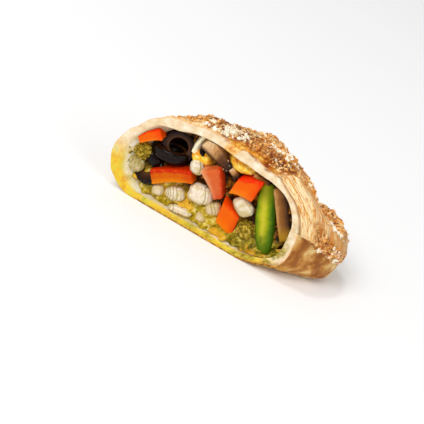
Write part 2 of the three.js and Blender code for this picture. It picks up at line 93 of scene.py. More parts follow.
def section(phi, s, wall=0.0, end=CLOSED_END, sunk=0.0):
    """The section at s, a lopsided superellipse, drawn in by wall on every side, its roof sunk."""
    c, up = np.cos(phi), np.sin(phi)
    height = ROOF_HEIGHT - CORNER_FALL * (1 - ramp(s, -50, -12)) - RIDGE_FALL * ramp(s, -10, 6)
    height = height - END_FALL * ramp(s, 22, 76)
    height = height + CROWN * ramp(s, -14, -2) * (1 - ramp(s, 4, 16))
    side_n = RIGHT_SIDE + END_SWELL * ramp(s, 34, 52) - wall
    right = TIP_N + (side_n - TIP_N) * closing(s, 44.5, 2.5, end)
    left = TIP_N + (LEFT_SIDE + wall - TIP_N) * closing(s, 12, 2.1, end)
    ridge = np.clip(mix(RIDGE, TIP_N, ramp(s, 25, end)), left, right)
    roof = TIP_Z + (height - sunk - wall - TIP_Z) * closing(s, 46.5, 2.5, end)
    side = mix(SIDE_HEIGHT, TIP_Z, ramp(s, 20, end))
    base = TIP_Z - (TIP_Z + BASE_SINK - wall) * closing(s, 52.5, 3.2, end)
    power = np.where(up >= 0, np.where(c >= 0, 0.667, 0.976), 0.69)
    reach = np.where(c >= 0, right - ridge, ridge - left)
    rise = np.where(up >= 0, roof - side, side - base)
    return ridge + reach * signed_power(c, power), side + rise * signed_power(up, power)


def sag_outside(phi, s):
    """How far the roof has sunk behind the flap. It swells again before the closed end."""
    on_roof = patch(np.degrees(phi), 37.5, 57.5, 115, 150)
    sag = FIRST_SAG * ramp(s, 20, 34) + DEEP_SAG * ramp(s, 39.5, 45.5)
    return sag * (1 - ramp(s, 53, 63)) * on_roof


def column_angle(q, s):
    """Columns are counted from the flap's lower edge and lie closer together near it."""
    seam = np.radians(SEAM_AT_CUT - SEAM_DROP * ramp(s, 34, 66))
    return seam + 2 * np.pi * q - CROWDING * np.sin(2 * np.pi * q), seam


def flap_thickness(q, s, from_cut):
    phi, seam = column_angle(q, s)
    degrees = np.degrees(phi)
    layer = (1 - ramp(degrees, FLAP_CORNER - 3, FLAP_CORNER + 3)) * (1 + FLAP_LIP * ramp(degrees, 20, 46))
    melted = 1 - ramp(degrees, 60, 140)
    edge = ramp(phi - seam, -0.02, 0.06) * closing(s, 30, 2.2, CLOSED_END)
    return FLAP * edge * mix(layer, melted, ramp(from_cut, 0, FLAP_MELT))


def outside(q, s, from_cut):
    phi, _ = column_angle(q, s)
    degrees = np.degrees(phi)
    n, z = section(phi, s)
    n0, z0 = section(phi - 1e-3, s)
    n1, z1 = section(phi + 1e-3, s)
    length = np.hypot(n1 - n0, z1 - z0) + 1e-9
    swell = SWELLS * np.sin(0.21 * s + 2.1 * phi + 0.6) * np.sin(0.13 * s - 3 * phi + 1.1)
    pits = PITS * np.sin(0.62 * s + 5 * phi) * np.cos(0.37 * s - 7 * phi + 0.4)
    uneven = (swell + pits) * ramp(z, 0.5, 6) * closing(s, 45, 2, CLOSED_END)
    out = flap_thickness(q, s, from_cut) + uneven
    dip = RIM_DIP * patch(degrees, 78, 92, 95, 125) * (1 - ramp(from_cut, 0, 15))
    split = SPLIT_DEPTH * patch(degrees, 59, 63, 70, 78) * np.exp(-(((from_cut - 6) / 2.2) ** 2))
    sunk = dip + split + sag_outside(phi, s)
    return n + out * (z1 - z0) / length, np.maximum(z + out * (n0 - n1) / length - sunk, 0)


def inside(q, s, gap=0.0):
    phi, _ = column_angle(q, s)
    wall = WALL + ROOF_WALL * patch(np.degrees(phi), 40, 88, 114, 136) + gap
    sunk = INNER_SAG * ramp(s, 37, 46) * (1 - 0.5 * ramp(s, 53, CLOSED_END))
    n, z = section(phi, s, wall, CLOSED_END - END_WALL - gap, sunk)
    return n, np.maximum(z, wall)


def station_at(depth, surface, q):
    """The s at which each column of a surface lies depth behind the cut."""
    s = np.zeros_like(q)
    for _ in range(60):
        n, _ = surface(q, s)
        s = mix(s, (depth + n * math.sin(CUT_ANGLE)) / math.cos(CUT_ANGLE), 0.4)
    return s


def to_roll(n, z, s):
    n, z, s = np.broadcast_arrays(n, z, s)
    return s[..., None] * ALONG + n[..., None] * ACROSS + z[..., None] * np.array([0, 0, 1.0])


def grain(points, size, seed):
    """Smooth random swellings from -1 to 1, about size across."""
    p = np.asarray(points) / size + seed * 17.37
    cell = np.floor(p).astype(np.int64)
    f = p - cell
    f = f * f * (3 - 2 * f)
    total = np.zeros(p.shape[:-1])
    for corner in np.ndindex(2, 2, 2):
        c = cell + np.array(corner)
        h = c[..., 0] * 374761393 + c[..., 1] * 668265263 + c[..., 2] * 1274126177 + seed * 97
        h = h & 0xFFFFFFFF
        h = ((h ^ (h >> 13)) * 1274126177) & 0xFFFFFFFF
        value = ((h ^ (h >> 16)) & 0xFFFF) / 32767.5 - 1
        total += value * np.prod(np.where(np.array(corner) == 1, f, 1 - f), axis=-1)
    return total


def lofted(rows, wrap_length, along):
    """A closed mesh of rows of points, with a single point before the first and after the last row,
    and a UV map in mm: round the roll, and along it."""
    count, columns = rows.shape[0] - 2, rows.shape[1]
    points = np.concatenate([rows[0, :1], rows[1:-1].reshape(-1, 3), rows[-1, :1]])
    last = len(points) - 1
    faces, uvs = [], []
    for r in range(count + 1):
        for c in range(columns):
            d = (c + 1) % columns
            here, there = 1 + (r - 1) * columns, 1 + r * columns
            u0, u1 = wrap_length[c], wrap_length[c + 1]
            if r == 0:
                faces.append((0, there + d, there + c))
                uvs += [(u0, along[0, c]), (u1, along[1, d]), (u0, along[1, c])]
            elif r == count:
                faces.append((here + c, here + d, last))
                uvs += [(u0, along[r, c]), (u1, along[r, d]), (u0, along[r + 1, c])]
            else:
                faces.append((here + c, here + d, there + d, there + c))
                uvs += [(u0, along[r, c]), (u1, along[r, d])]
                uvs += [(u1, along[r + 1, d]), (u0, along[r + 1, c])]
    return points, faces, uvs


def new_piece(name, points, faces):
    """A piece from points in the roll's frame, placed in its mesh."""
    mesh = bpy.data.meshes.new(name)
    mesh.from_pydata([tuple(p) for p in points], [], faces)
    mesh.transform(ROLL_TO_PART)
    mesh.update()
    mesh.shade_smooth()
    piece = bpy.data.objects.new(name, mesh)
    bpy.context.scene.collection.objects.link(piece)
    return piece


def paint_value(piece, name, values):
    attribute = piece.data.attributes.new(name, "FLOAT", "POINT")
    attribute.data.foreach_set("value", np.asarray(values, np.float32))


COLUMNS, OUTER_ROWS, INNER_ROWS = 352, 198, 46
FACE_STEPS = [0.5 + 0.5 * signed_power(x, 1.5) for x in np.linspace(-1, 1, 31)[1:-1]]

q = np.arange(COLUMNS) / COLUMNS
rim_station = station_at(0, lambda q, s: outside(q, s, 0.0), q)
mouth_station = station_at(0, inside, q)
t = np.sin((1 - np.arange(OUTER_ROWS + 1)[:, None] / OUTER_ROWS) * math.pi / 2)
outer_s = mix(rim_station, CLOSED_END, t)
outer_rows = to_roll(*outside(q, outer_s, outer_s - rim_station), outer_s)
t = np.sin(np.arange(INNER_ROWS + 1)[:, None] / INNER_ROWS * math.pi / 2)
inner_s = mix(mouth_station, CLOSED_END - END_WALL, t)
inner_rows = to_roll(*inside(q, inner_s), inner_s)

# The cut face runs from the outer to the inner rim, with the groove between flap and wall.
rim_phi, _ = column_angle(q, rim_station)
split_n, split_z = section(rim_phi, rim_station)
split_z = split_z - sag_outside(rim_phi, rim_station)
split = to_roll(split_n, split_z, split_n * math.tan(CUT_ANGLE))
apart = np.clip(flap_thickness(q, rim_station, 0.0) / FLAP, 0, 1)
face_rows, face_layer = [], []
for step in FACE_STEPS:
    plain = mix(outer_rows[-1], inner_rows[0], step)
    bent = mix(outer_rows[-1], split, step * 2) if step < 0.5 else mix(split, inner_rows[0], step * 2 - 1)
    place = mix(plain, bent, apart[:, None])
    from_split = np.linalg.norm(place - split, axis=1)
    groove = FLAP_GROOVE * apart * np.exp(-((from_split / 0.5) ** 2))
    face_rows.append(place + np.array([0, 1, 0]) * groove[:, None])
    face_layer.append(from_split * (-1 if step < 0.5 else 1))
rows = np.concatenate([outer_rows, face_rows, inner_rows])


def on_rows(outer, face, inner):
    """One value for each point, from those of the outside, the cut face and the inside."""
    shapes = [(OUTER_ROWS + 1, COLUMNS), (len(FACE_STEPS), COLUMNS), (INNER_ROWS + 1, COLUMNS)]
    return np.concatenate([np.broadcast_to(v, shape) for v, shape in zip((outer, face, inner), shapes)])


# Where each point lies: round the roll in degrees, from the flap's lower edge, and from the cut.
around = np.degrees(on_rows(column_angle(q, outer_s)[0], rim_phi, column_angle(q, inner_s)[0])) % 360
past_seam = np.tile(np.degrees(2 * np.pi * q - CROWDING * np.sin(2 * np.pi * q)), (len(rows), 1))
from_cut = on_rows(outer_s - rim_station, 0.0, inner_s - mouth_station) * math.cos(CUT_ANGLE)
across_wall = on_rows(0.0, np.array(FACE_STEPS)[:, None], 1.0)
outer_skin, cut_face, inner_skin = on_rows(1.0, 0.0, 0.0), on_rows(0.0, 1.0, 0.0), on_rows(0.0, 0.0, 1.0)

# Swellings that the oven left: blisters of cheese on the roof and the flap's foot, a creased flank,
# an open crumb, rolled layers in the flap, and ragged rims.
du = np.roll(rows, -1, axis=1) - np.roll(rows, 1, axis=1)
normal = np.cross(du, np.gradient(rows, axis=0))
normal /= np.linalg.norm(normal, axis=-1, keepdims=True) + 1e-9
roof = patch(around, 52, 66, 150, 176) * outer_skin
flap_foot = patch(past_seam, -1, 1, 14, 24) * ramp(from_cut, 0, 2) * outer_skin
baked_on = np.maximum(roof, flap_foot)
blister = np.maximum(grain(rows, 4.2, 1) + 0.7 * grain(rows, 2.0, 2), -0.3) + 0.3 * grain(rows, 1.1, 8)
creases = np.abs(grain(rows * np.array([1, 1, 1.6]), 5.0, 3))
flank = 0.3 * creases + 0.12 * grain(rows, 2.0, 4)
height = baked_on * ramp(from_cut, 0.2, 2.5) * 0.5 * blister
height += baked_on * ramp(from_cut, 0, 0.8) * (1 - ramp(from_cut, 5, 9)) * 0.4 * grain(rows, 1.5, 20)
height += outer_skin * (1 - baked_on) * flank * ramp(rows[..., 2], 0.3, 3)
height -= cut_face * 0.22 * np.maximum(grain(rows, 1.4, 5) + 0.4 * grain(rows, 0.8, 6), 0)
height += inner_skin * ramp(from_cut, 0, 1.5) * 0.25 * grain(rows, 3.2, 7)
flap_side = patch(past_seam, 2, 8, 46, 52) * (1 - inner_skin) * (1 - ramp(from_cut * outer_skin, 3, 12))
flap_side = flap_side * (across_wall < 0.45)
depth_in_flap = np.where(cut_face > 0, 12 * across_wall, 12 + from_cut)
length_round = np.radians(past_seam) * 24
in_layers = np.stack([length_round / 9, depth_in_flap / 1.1, 0 * from_cut], -1)
height += 0.4 * flap_side * grain(in_layers, 1.0, 14)
ragged = (0.34 * grain(rows, 3.0, 9) + 0.26 * grain(rows, 1.3, 10)) * (1 - ramp(across_wall, 0, 0.4))
ragged *= (1 - ramp(from_cut * outer_skin, 0, 2.5)) * ramp(rows[..., 2], 0.5, 3)
outward = np.tile(normal[OUTER_ROWS - 4], (len(rows), 1, 1))
rows = rows + normal * height[..., None] + outward * ragged[..., None]

# The rims are rounded over a millimetre, as cut dough is.
for corner_row in (OUTER_ROWS, OUTER_ROWS + len(FACE_STEPS) + 1):
    for _ in range(4):
        span = slice(corner_row - 2, corner_row + 3)
        before, after = rows[corner_row - 3 : corner_row + 2], rows[corner_row - 1 : corner_row + 4]
        rows[span] = (before + 2 * rows[span] + after) / 4

rim_steps = np.linalg.norm(np.roll(outer_rows[-1], -1, axis=0) - outer_rows[-1], axis=1)
wrap_length = np.concatenate([[0], np.cumsum(rim_steps)])
along = np.concatenate([-from_cut[: OUTER_ROWS + 1] - 8, face_layer, from_cut[-INNER_ROWS - 1 :] + 8])
points, faces, uvs = lofted(rows, wrap_length, along)
box_low, box_high = (np.array(corner) * 1000 - np.array(MIDDLE_OF_CUT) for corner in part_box("crust"))
crust = new_piece("crust_dough", np.clip(points, box_low, box_high), faces)
uv_layer = crust.data.uv_layers.new(name="round_and_along")
uv_layer.data.foreach_set("uv", np.array(uvs, np.float32).ravel())


def per_point(grid):
    return np.concatenate([grid[0, :1], grid[1:-1].ravel(), grid[-1, :1]])


# What the oven and the filling left on the dough, as amounts from 0 to 1. Below counts the degrees
# on from the left side, under the roll and up its right side.
below = np.where(around < 90, around + 360, around)
oily = patch(around, 164, 190, 318, 346) * np.exp(-((from_cut / mix(3.2, 1.6, inner_skin)) ** 2))
soaked_rim = patch(below, 258, 286, 350, 386)
soaked_rim *= cut_face * ramp(across_wall, 0.2, 0.5) + inner_skin * (1 - ramp(from_cut, 1, 5))
soaked_rim *= ramp(grain(rows, 3.4, 17) + 0.6 * grain(rows, 1.4, 18), -0.6, 0.3)
cheese_on_skin = outer_skin * (1 - ramp(from_cut + 1.6 * grain(rows, 2.4, 15), 2.6, 4.6))
cheese_on_cut = cut_face * (1 - ramp(across_wall + 0.2 * grain(rows, 1.6, 16), 0.06, 0.26))
drip_on_skin = outer_skin * (1 - ramp(from_cut + grain(rows, 1.8, 22), 0.6, 2.2))
brown_below = outer_skin * np.exp(-((from_cut / 2.4) ** 2)) + cut_face * (1 - ramp(across_wall, 0.1, 0.5))
layers_outside = patch(past_seam, 16, 26, 46, 54) * outer_skin * (1 - ramp(from_cut, 4, 14))
marks = {
    "roof": baked_on,
    "cut_face": cut_face,
    "inner_skin": inner_skin,
    "across_wall": across_wall,
    "flap_layers": np.clip(cut_face * apart * (across_wall < 0.5), 0, 1) + layers_outside,
    "flap_outside": patch(past_seam, 10, 16, 48, 58) * outer_skin * patch(from_cut, 0.6, 2.4, 12, 20),
    "pale_rim": patch(around, 84, 100, 160, 185) * outer_skin * (1 - ramp(from_cut, 1.0, 3.6)),
    "cheese_rim": np.clip(patch(around, 60, 66, 84, 90) * (cheese_on_skin + 0.9 * cheese_on_cut), 0, 1),
    "drip": patch(around, 79, 81, 84, 86.5) * cut_face + patch(around, 70, 76, 84, 86.5) * drip_on_skin,
    "furrow": patch(around, 59, 64, 74, 84) * outer_skin * np.exp(-(((from_cut - 5.6) / 2.2) ** 2)),
    "low_flank": ramp(past_seam, 298, 322) * outer_skin,
    "near_rim": 0.85 - 0.5 * ramp(from_cut, 12, 20) * outer_skin,
    "closed_end": ramp(on_rows(outer_s, 0.0, 0.0), 34, 54) * outer_skin,
    "oil": oily * (1 - 0.25 * inner_skin),
    "bottom_edge": patch(below, 238, 256, 326, 350) * brown_below,
    "under_crumbs": outer_skin * patch(around, 78, 86, 102, 112) * patch(from_cut, 0.8, 2.2, 9, 14),
    "soaked": soaked_rim * 0.9,
    "ceiling": inner_skin * patch(around, 20, 60, 150, 172),
    "shade_deep_inside": inner_skin * ramp(from_cut, 5.5, 9.5),
}
for name, amount in marks.items():
    paint_value(crust, name, per_point(amount))


def colour(*levels):
    """A screen colour, 0 to 255, as a shader takes it."""
    shares = [v / 255 for v in levels]
    return tuple(((v + 0.055) / 1.055) ** 2.4 if v > 0.04 else v / 12.92 for v in shares) + (1,)


def add_node(tree, kind, settings=None, inputs=None):
    node = tree.nodes.new(kind)
    for name, value in (settings or {}).items():
        setattr(node, name, value)
    for name, value in (inputs or {}).items():
        if isinstance(value, bpy.types.NodeSocket):
            tree.links.new(value, node.inputs[name])
        else:
            node.inputs[name].default_value = value
    return node


def combine(tree, operation, first, *others):
    for other in others:
        first = add_node(tree, "ShaderNodeMath", {"operation": operation}, {0: first, 1: other}).outputs[0]
    return first


def add_sockets(group, inputs, outputs):
    """A group's sockets, as {name: (kind, default)} and {name: kind}, and its nodes for them."""
    for name, (kind, default) in inputs.items():
        made = group.interface.new_socket(name=name, in_out="INPUT", socket_type="NodeSocket" + kind)
        if default is not None:
            made.default_value = default
    for name, kind in outputs.items():
        group.interface.new_socket(name=name, in_out="OUTPUT", socket_type="NodeSocket" + kind)
    return group.nodes.new("NodeGroupInput").outputs, group.nodes.new("NodeGroupOutput").inputs


# Small round specks, such as pores, herbs and bran.
specks = bpy.data.node_groups.new("specks", "ShaderNodeTree")
sizes = {"Per Metre": ("Float", 700), "Share": ("Float", 0.2)}
given, result = add_sockets(specks, {"Vector": ("Vector", None), **sizes}, {"Mask": "Float"})
inputs = {"Vector": given["Vector"], "Scale": given["Per Metre"], "Randomness": 1.0}
cells = add_node(specks, "ShaderNodeTexVoronoi", inputs=inputs).outputs
inputs = {"Value": cells["Distance"], "From Min": 0.34, "From Max": 0.2}
near = add_node(specks, "ShaderNodeMapRange", inputs=inputs).outputs[0]
drawn = add_node(specks, "ShaderNodeSeparateColor", inputs={"Color": cells["Color"]}).outputs[0]
chosen = combine(specks, "LESS_THAN", drawn, given["Share"])
specks.links.new(combine(specks, "MULTIPLY", near, chosen), result["Mask"])

# A moist surface: an uneven film that is glossier where it is thick, over fine bumps.
moisture = bpy.data.node_groups.new("moist surface", "ShaderNodeTree")
sizes = {"Bump Size": ("Float", 1.2), "Driest": ("Float", 0.5), "Wettest": ("Float", 0.2)}
given, result = add_sockets(
    moisture, {"Vector": ("Vector", None), **sizes}, {"Roughness": "Float", "Height": "Float"}
)
film = add_node(moisture, "ShaderNodeTexNoise", inputs={"Vector": given["Vector"], "Scale": 260.0})
per_bump = combine(moisture, "DIVIDE", 1000.0, given["Bump Size"])
inputs = {"Vector": given["Vector"], "Scale": per_bump, "Detail": 3.0}
bumps = add_node(moisture, "ShaderNodeTexNoise", inputs=inputs)
inputs = {"Value": film.outputs["Fac"], "From Min": 0.35, "From Max": 0.65}
inputs |= {"To Min": given["Driest"], "To Max": given["Wettest"]}
gloss = add_node(moisture, "ShaderNodeMapRange", inputs=inputs)
moisture.links.new(gloss.outputs[0], result["Roughness"])
moisture.links.new(bumps.outputs["Fac"], result["Height"])


class Finish:
    """A material that is built up from noises, painted values and colours."""

    def __init__(self, name):
        self.material = bpy.data.materials.new(name)
        self.material.use_nodes = True
        self.tree = self.material.node_tree
        self.where = add_node(self.tree, "ShaderNodeTexCoord").outputs["Object"]

    def value(self, name):
        return add_node(self.tree, "ShaderNodeAttribute", {"attribute_name": name}).outputs["Fac"]

    def plus(self, *values):
        return combine(self.tree, "ADD", *values)

    def times(self, *values):
        return combine(self.tree, "MULTIPLY", *values)

    def between(self, value, low, high):
        """0 below low and 1 above high."""
        inputs = {"Value": value, "From Min": low, "From Max": high}
        smooth = {"interpolation_type": "SMOOTHSTEP"}
        return add_node(self.tree, "ShaderNodeMapRange", smooth, inputs).outputs[0]

    def noise(self, size_mm, detail=2.0, stretch=None, where=None):
        """Noise with swellings of about size_mm, from 0 to 1."""
        where = self.where if where is None else where
        if stretch:
            inputs = {"Vector": where, "Scale": stretch}
            where = add_node(self.tree, "ShaderNodeMapping", inputs=inputs).outputs[0]
        inputs = {"Vector": where, "Scale": 1000 / size_mm, "Detail": detail, "Roughness": 0.55}
        return add_node(self.tree, "ShaderNodeTexNoise", inputs=inputs).outputs["Fac"]

    def specks(self, per_metre, share):
        inputs = {"Vector": self.where, "Per Metre": per_metre, "Share": share}
        return add_node(self.tree, "ShaderNodeGroup", {"node_tree": specks}, inputs).outputs["Mask"]

    def steps(self, value, *steps):
        """The colours that a value goes through, each as (value, (red, green, blue))."""
        node = add_node(self.tree, "ShaderNodeValToRGB", inputs={"Fac": value})
        elements = node.color_ramp.elements
        while len(elements) < len(steps):
            elements.new(0.5)
        for element, (place, shade) in zip(elements, steps):
            element.position, element.color = place, colour(*shade)
        return node.outputs["Color"]

    def over(self, under, amount, top, share=1):
        """A colour over another, by a share of an amount."""
        amount = amount if share == 1 else self.times(amount, share)
        top = colour(*top) if isinstance(top, tuple) else top
        node = add_node(self.tree, "ShaderNodeMix", {"data_type": "RGBA"}, {0: amount, 6: under, 7: top})
        return node.outputs[2]

    def done(self, shade, moist, soft=None, radius=None, coat=None, specular=0.16, extra_height=None):
        """Sets the shader. Moist is the bumps' size, the driest and wettest roughness, and the bumps'
        depth, soft is how much light goes in and how far, and coat is its weight and roughness."""
        shader = self.tree.nodes["Principled BSDF"]
        size, driest, wettest, depth = moist
        inputs = {"Vector": self.where, "Bump Size": size, "Driest": driest, "Wettest": wettest}
        surface = add_node(self.tree, "ShaderNodeGroup", {"node_tree": moisture}, inputs).outputs
        height = surface["Height"] if extra_height is None else self.plus(surface["Height"], extra_height)
        inputs = {"Strength": 1.0, "Distance": depth / 1000, "Height": height}
        bump = add_node(self.tree, "ShaderNodeBump", inputs=inputs)
        self.tree.links.new(bump.outputs[0], shader.inputs["Normal"])
        self.tree.links.new(surface["Roughness"], shader.inputs["Roughness"])
        self.tree.links.new(shade, shader.inputs["Base Color"])
        shader.inputs["Specular IOR Level"].default_value = specular
        if soft:
            shader.inputs["Subsurface Weight"].default_value = soft[0]
            shader.inputs["Subsurface Scale"].default_value = soft[1] / 1000
        if radius:
            shader.inputs["Subsurface Radius"].default_value = radius
        if coat:
            shader.inputs["Coat Weight"].default_value, shader.inputs["Coat Roughness"].default_value = coat
        return self.material


dough = Finish("baked dough")
on_surface = add_node(dough.tree, "ShaderNodeUVMap", {"uv_map": "round_and_along"}).outputs[0]
here = {name: dough.value(name) for name in marks}
wide, middling, fine = dough.noise(13), dough.noise(4.2, 3), dough.noise(1.5, 3)

# The roof is browned in patches, from gold to dark brown, and the flank is a paler tan.
browning = dough.plus(dough.plus(wide, dough.times(middling, 1.5)), dough.times(fine, 2.5), -2.02)
roof_shade = dough.steps(
    browning,
    (0.05, (246, 220, 172)), (0.26, (238, 196, 128)), (0.44, (226, 160, 84)), (0.58, (206, 124, 50)),
    (0.72, (168, 84, 26)), (0.86, (114, 52, 16)), (0.97, (66, 30, 12)),
)
slowly = dough.plus(dough.times(wide, 1.3), dough.times(middling, 0.7), -0.5)
slowly = dough.plus(slowly, dough.times(fine, 0.35), -0.17)
flank_shade = dough.steps(
    slowly,
    (0.2, (240, 212, 158)), (0.4, (230, 190, 124)), (0.56, (212, 160, 88)), (0.74, (186, 126, 58)),
    (0.9, (150, 92, 36)),
)
dusting = dough.between(dough.noise(0.7, 2), 0.5, 0.66)
flank_shade = dough.over(flank_shade, dusting, (246, 228, 192), 0.35)
inputs = {0: here["closed_end"], 2: dough.noise(1000, 3, (0.04, 0.2, 1), on_surface), 3: dough.noise(8, 3)}
creased = add_node(dough.tree, "ShaderNodeMix", {"data_type": "FLOAT"}, inputs).outputs[0]
low_shade = dough.steps(
    dough.plus(creased, dough.times(middling, 0.5), -0.25),
    (0.3, (236, 208, 142)), (0.41, (214, 166, 94)), (0.5, (188, 126, 56)), (0.64, (152, 90, 34)),
)
skin = dough.over(flank_shade, here["roof"], roof_shade)
molten = dough.steps(fine, (0.34, (168, 76, 8)), (0.5, (206, 122, 32)), (0.66, (238, 186, 100)))
pools = dough.times(dough.between(dough.noise(5.5, 2), 0.5, 0.6), here["roof"], here["near_rim"])
skin = dough.over(skin, pools, molten)
for size, detail, low, high, share, shade in [
    (3.4, 3, 0.58, 0.66, 0.9, (84, 34, 12)),
    (0.9, 2, 0.52, 0.6, 0.6, (246, 204, 128)),
    (1.2, 2, 0.46, 0.38, 0.7, (124, 60, 20)),
]:
    spots = dough.times(dough.between(dough.noise(size, detail), low, high), here["roof"])
    skin = dough.over(skin, spots, shade, share)
# Under the white crumbs the dough is painted darker brown in spots.
darker_under_crumbs = dough.times(here["under_crumbs"], dough.between(fine, 0.42, 0.56))
skin = dough.over(skin, darker_under_crumbs, (112, 56, 22), 0.85)
skin = dough.over(skin, here["low_flank"], low_shade)
pale_shade = dough.steps(browning, (0.2, (248, 226, 180)), (0.5, (240, 206, 148)), (0.8, (224, 164, 84)))
skin = dough.over(skin, here["pale_rim"], pale_shade)
# Painted shade: the furrow behind the orange rim is painted dark brown, as the groove's shade.
skin = dough.over(skin, dough.times(here["furrow"], dough.between(fine, 0.34, 0.5)), (104, 44, 14))

# The crumb at the cut is cream, with fine grey specks, and the flap shows its rolled layers.
crumb = dough.steps(middling, (0.3, (226, 196, 150)), (0.5, (240, 216, 178)), (0.72, (250, 238, 214)))
crumb = dough.over(crumb, dough.specks(1000, 0.3), (176, 140, 108), 0.35)
crumb = dough.over(crumb, dough.between(here["across_wall"], 0.2, 0.02), (226, 158, 74), 0.65)
crumb_layers = dough.steps(
    dough.noise(1000, 4, (0.06, 0.62, 1), on_surface),
    (0.34, (250, 232, 190)), (0.42, (242, 216, 162)), (0.46, (204, 122, 28)), (0.49, (250, 230, 184)),
    (0.55, (240, 206, 142)), (0.59, (200, 112, 22)), (0.64, (236, 186, 104)),
)
shade = dough.over(skin, here["cut_face"], crumb)
shade = dough.over(shade, here["flap_layers"], crumb_layers)
streaks = dough.between(dough.noise(1000, 3, (0.07, 0.7, 1), on_surface), 0.44, 0.58)
shade = dough.over(shade, dough.times(here["flap_outside"], streaks), (210, 124, 30), 0.7)
cheese_shade = dough.steps(
    middling, (0.32, (112, 46, 4)), (0.46, (158, 76, 4)), (0.58, (186, 110, 14)), (0.7, (214, 162, 66))
)
shade = dough.over(shade, here["cheese_rim"], cheese_shade)
drip_shade = dough.steps(fine, (0.36, (206, 116, 14)), (0.48, (232, 160, 46)), (0.6, (248, 204, 104)))
shade = dough.over(shade, here["drip"], drip_shade, 0.85)

# The inside is pale and moist, and deep inside it is painted near black, as painted shade.
# Oil has run over the lower rim, and the bottom edge is toasted.
lining = dough.steps(
    middling, (0.3, (206, 190, 118)), (0.4, (228, 213, 160)), (0.5, (236, 223, 190)), (0.64, (244, 236, 218))
)
lining = dough.over(lining, dough.specks(620, 0.2), (150, 136, 44), 0.6)
lining = dough.over(lining, here["ceiling"], (210, 184, 150))
# Painted shade: the lining deep inside the roll is painted near black.
lining = dough.over(lining, here["shade_deep_inside"], (36, 20, 10))
shade = dough.over(shade, here["inner_skin"], lining)
oil_shade = dough.steps(
    middling, (0.33, (222, 164, 44)), (0.47, (234, 194, 52)), (0.6, (226, 202, 62)), (0.72, (188, 182, 48))
)
shade = dough.over(shade, dough.times(here["oil"], dough.between(fine, 0.1, 0.4)), oil_shade)
soaked = dough.steps(
    fine, (0.36, (110, 96, 6)), (0.48, (156, 138, 20)), (0.58, (188, 168, 60)), (0.7, (220, 204, 134))
)
shade = dough.over(shade, here["soaked"], soaked)
toasted_edge = dough.steps(fine, (0.36, (112, 62, 12)), (0.5, (170, 108, 28)), (0.64, (206, 156, 66)))
toasted = dough.times(here["bottom_edge"], dough.between(middling, 0.3, 0.44))
shade = dough.over(shade, toasted, toasted_edge)
crust.data.materials.append(dough.done(shade, (0.7, 0.62, 0.4, 0.2), (0.08, 1), (1.0, 0.6, 0.3)))
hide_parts("crust")
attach(crust, "root")

# ---------------------------------------------------------------- the filling
# Vegetables in melted cheese, cut through with the dough. The cheese has run to the bottom, where it
# is yellow-green from the broccoli and the herbs. Higher up it is painted dark, as sauce and as painted
# shade between the chunks, and the hollow behind the olives is painted near black, as painted shade.

FILLING_RECESS, CHEESE_BULGE, WALL_GAP, PAST_CUT = 4.6, 2, 0.2, 3
OLIVES_X, OLIVES_Z, OLIVE_HOLLOW = -28, 31.5, 15
HOLLOW_COLUMNS, HOLLOW_ROWS = 150, 30
ACROSS_FACE, UP_FACE, BLOCK_BACK = 190, 90, 70


def carve(piece, tool, operation):
    """Cuts a piece by another, or to the space that they share."""
    cut = piece.modifiers.new("carve", "BOOLEAN")
    cut.operation, cut.solver, cut.object = operation, "MANIFOLD", tool
    settle(piece)


def settle(piece):
    """Applies a piece's modifiers to its mesh."""
    evaluated = piece.evaluated_get(bpy.context.evaluated_depsgraph_get())
    mesh = bpy.data.meshes.new_from_object(evaluated)
    mesh.name = piece.name
    piece.modifiers.clear()
    piece.data = mesh


def gapped(q, s):
    """The space inside, a gap clear of the dough."""
    return inside(q, s, WALL_GAP)


q = np.arange(HOLLOW_COLUMNS) / HOLLOW_COLUMNS
t = np.sin((1 - np.arange(HOLLOW_ROWS + 1)[:, None] / HOLLOW_ROWS) * math.pi / 2)
hollow_s = mix(station_at(0, inside, q), CLOSED_END - END_WALL - WALL_GAP, t)
past_s = station_at(-PAST_CUT, gapped, q)
middle_row = np.tile(np.array([-10.0, -PAST_CUT, 20.0]), (1, HOLLOW_COLUMNS, 1))
hollow_rows = [to_roll(*gapped(q, hollow_s), hollow_s), to_roll(*gapped(q, past_s), past_s)[None], middle_row]
hollow_rows = np.concatenate(hollow_rows)
flat = np.zeros(hollow_rows.shape[:2])
hollow = new_piece("space_inside", *lofted(hollow_rows, np.zeros(HOLLOW_COLUMNS + 1), flat)[:2])


def heap(x, z, at_x, at_z, wide, high):
    return np.exp(-(((x - at_x) / wide) ** 2) - (((z - at_z) / high) ** 2))


def strand_at(x, z):
    """A strand of white cheese that hangs from the roof beside the olives."""
    return np.exp(-(((x + 17.0 - 0.2 * (z - 40)) / 1.7) ** 2)) * ramp(z, 34.5, 36.5)


def yellow_at(x, z):
    """Where yellow cheese has run out round its two bits."""
    return np.maximum(heap(x, z, 6.5, 42.0, 9, 5), heap(x, z, -13.4, 34.6, 6.5, 5))


# The bumpy face, as the front of a block that is cut to the space inside. It lies behind the cut,
# deepest behind the olives, and bulges with melted cheese at the bottom.
x, z = np.meshgrid(np.linspace(-56, 50, ACROSS_FACE), np.linspace(-1, 56, UP_FACE), indexing="ij")
spot = np.stack([x, 0 * x, z], axis=-1)
curds = np.abs(grain(spot, 4.6, 11)) * 1.7 + 0.45 * grain(spot, 2.2, 12) + 0.12 * grain(spot, 1.1, 13)
lumps = 0.8 * np.sin(0.55 * x + 1) * np.cos(0.6 * z + 0.4) + 0.5 * np.sin(1.15 * x - 0.9 * z)
behind_olives = OLIVE_HOLLOW * (1 - ramp(np.hypot((x - OLIVES_X) / 12, (z - OLIVES_Z) / 9), 0.45, 1.15))
bulge = CHEESE_BULGE * (1 - ramp(z, 6, 14)) * ramp(x, -22, -10)
sunk = 2.6 * ramp(z, 13, 22) * (1 - ramp(x, 20, 30))
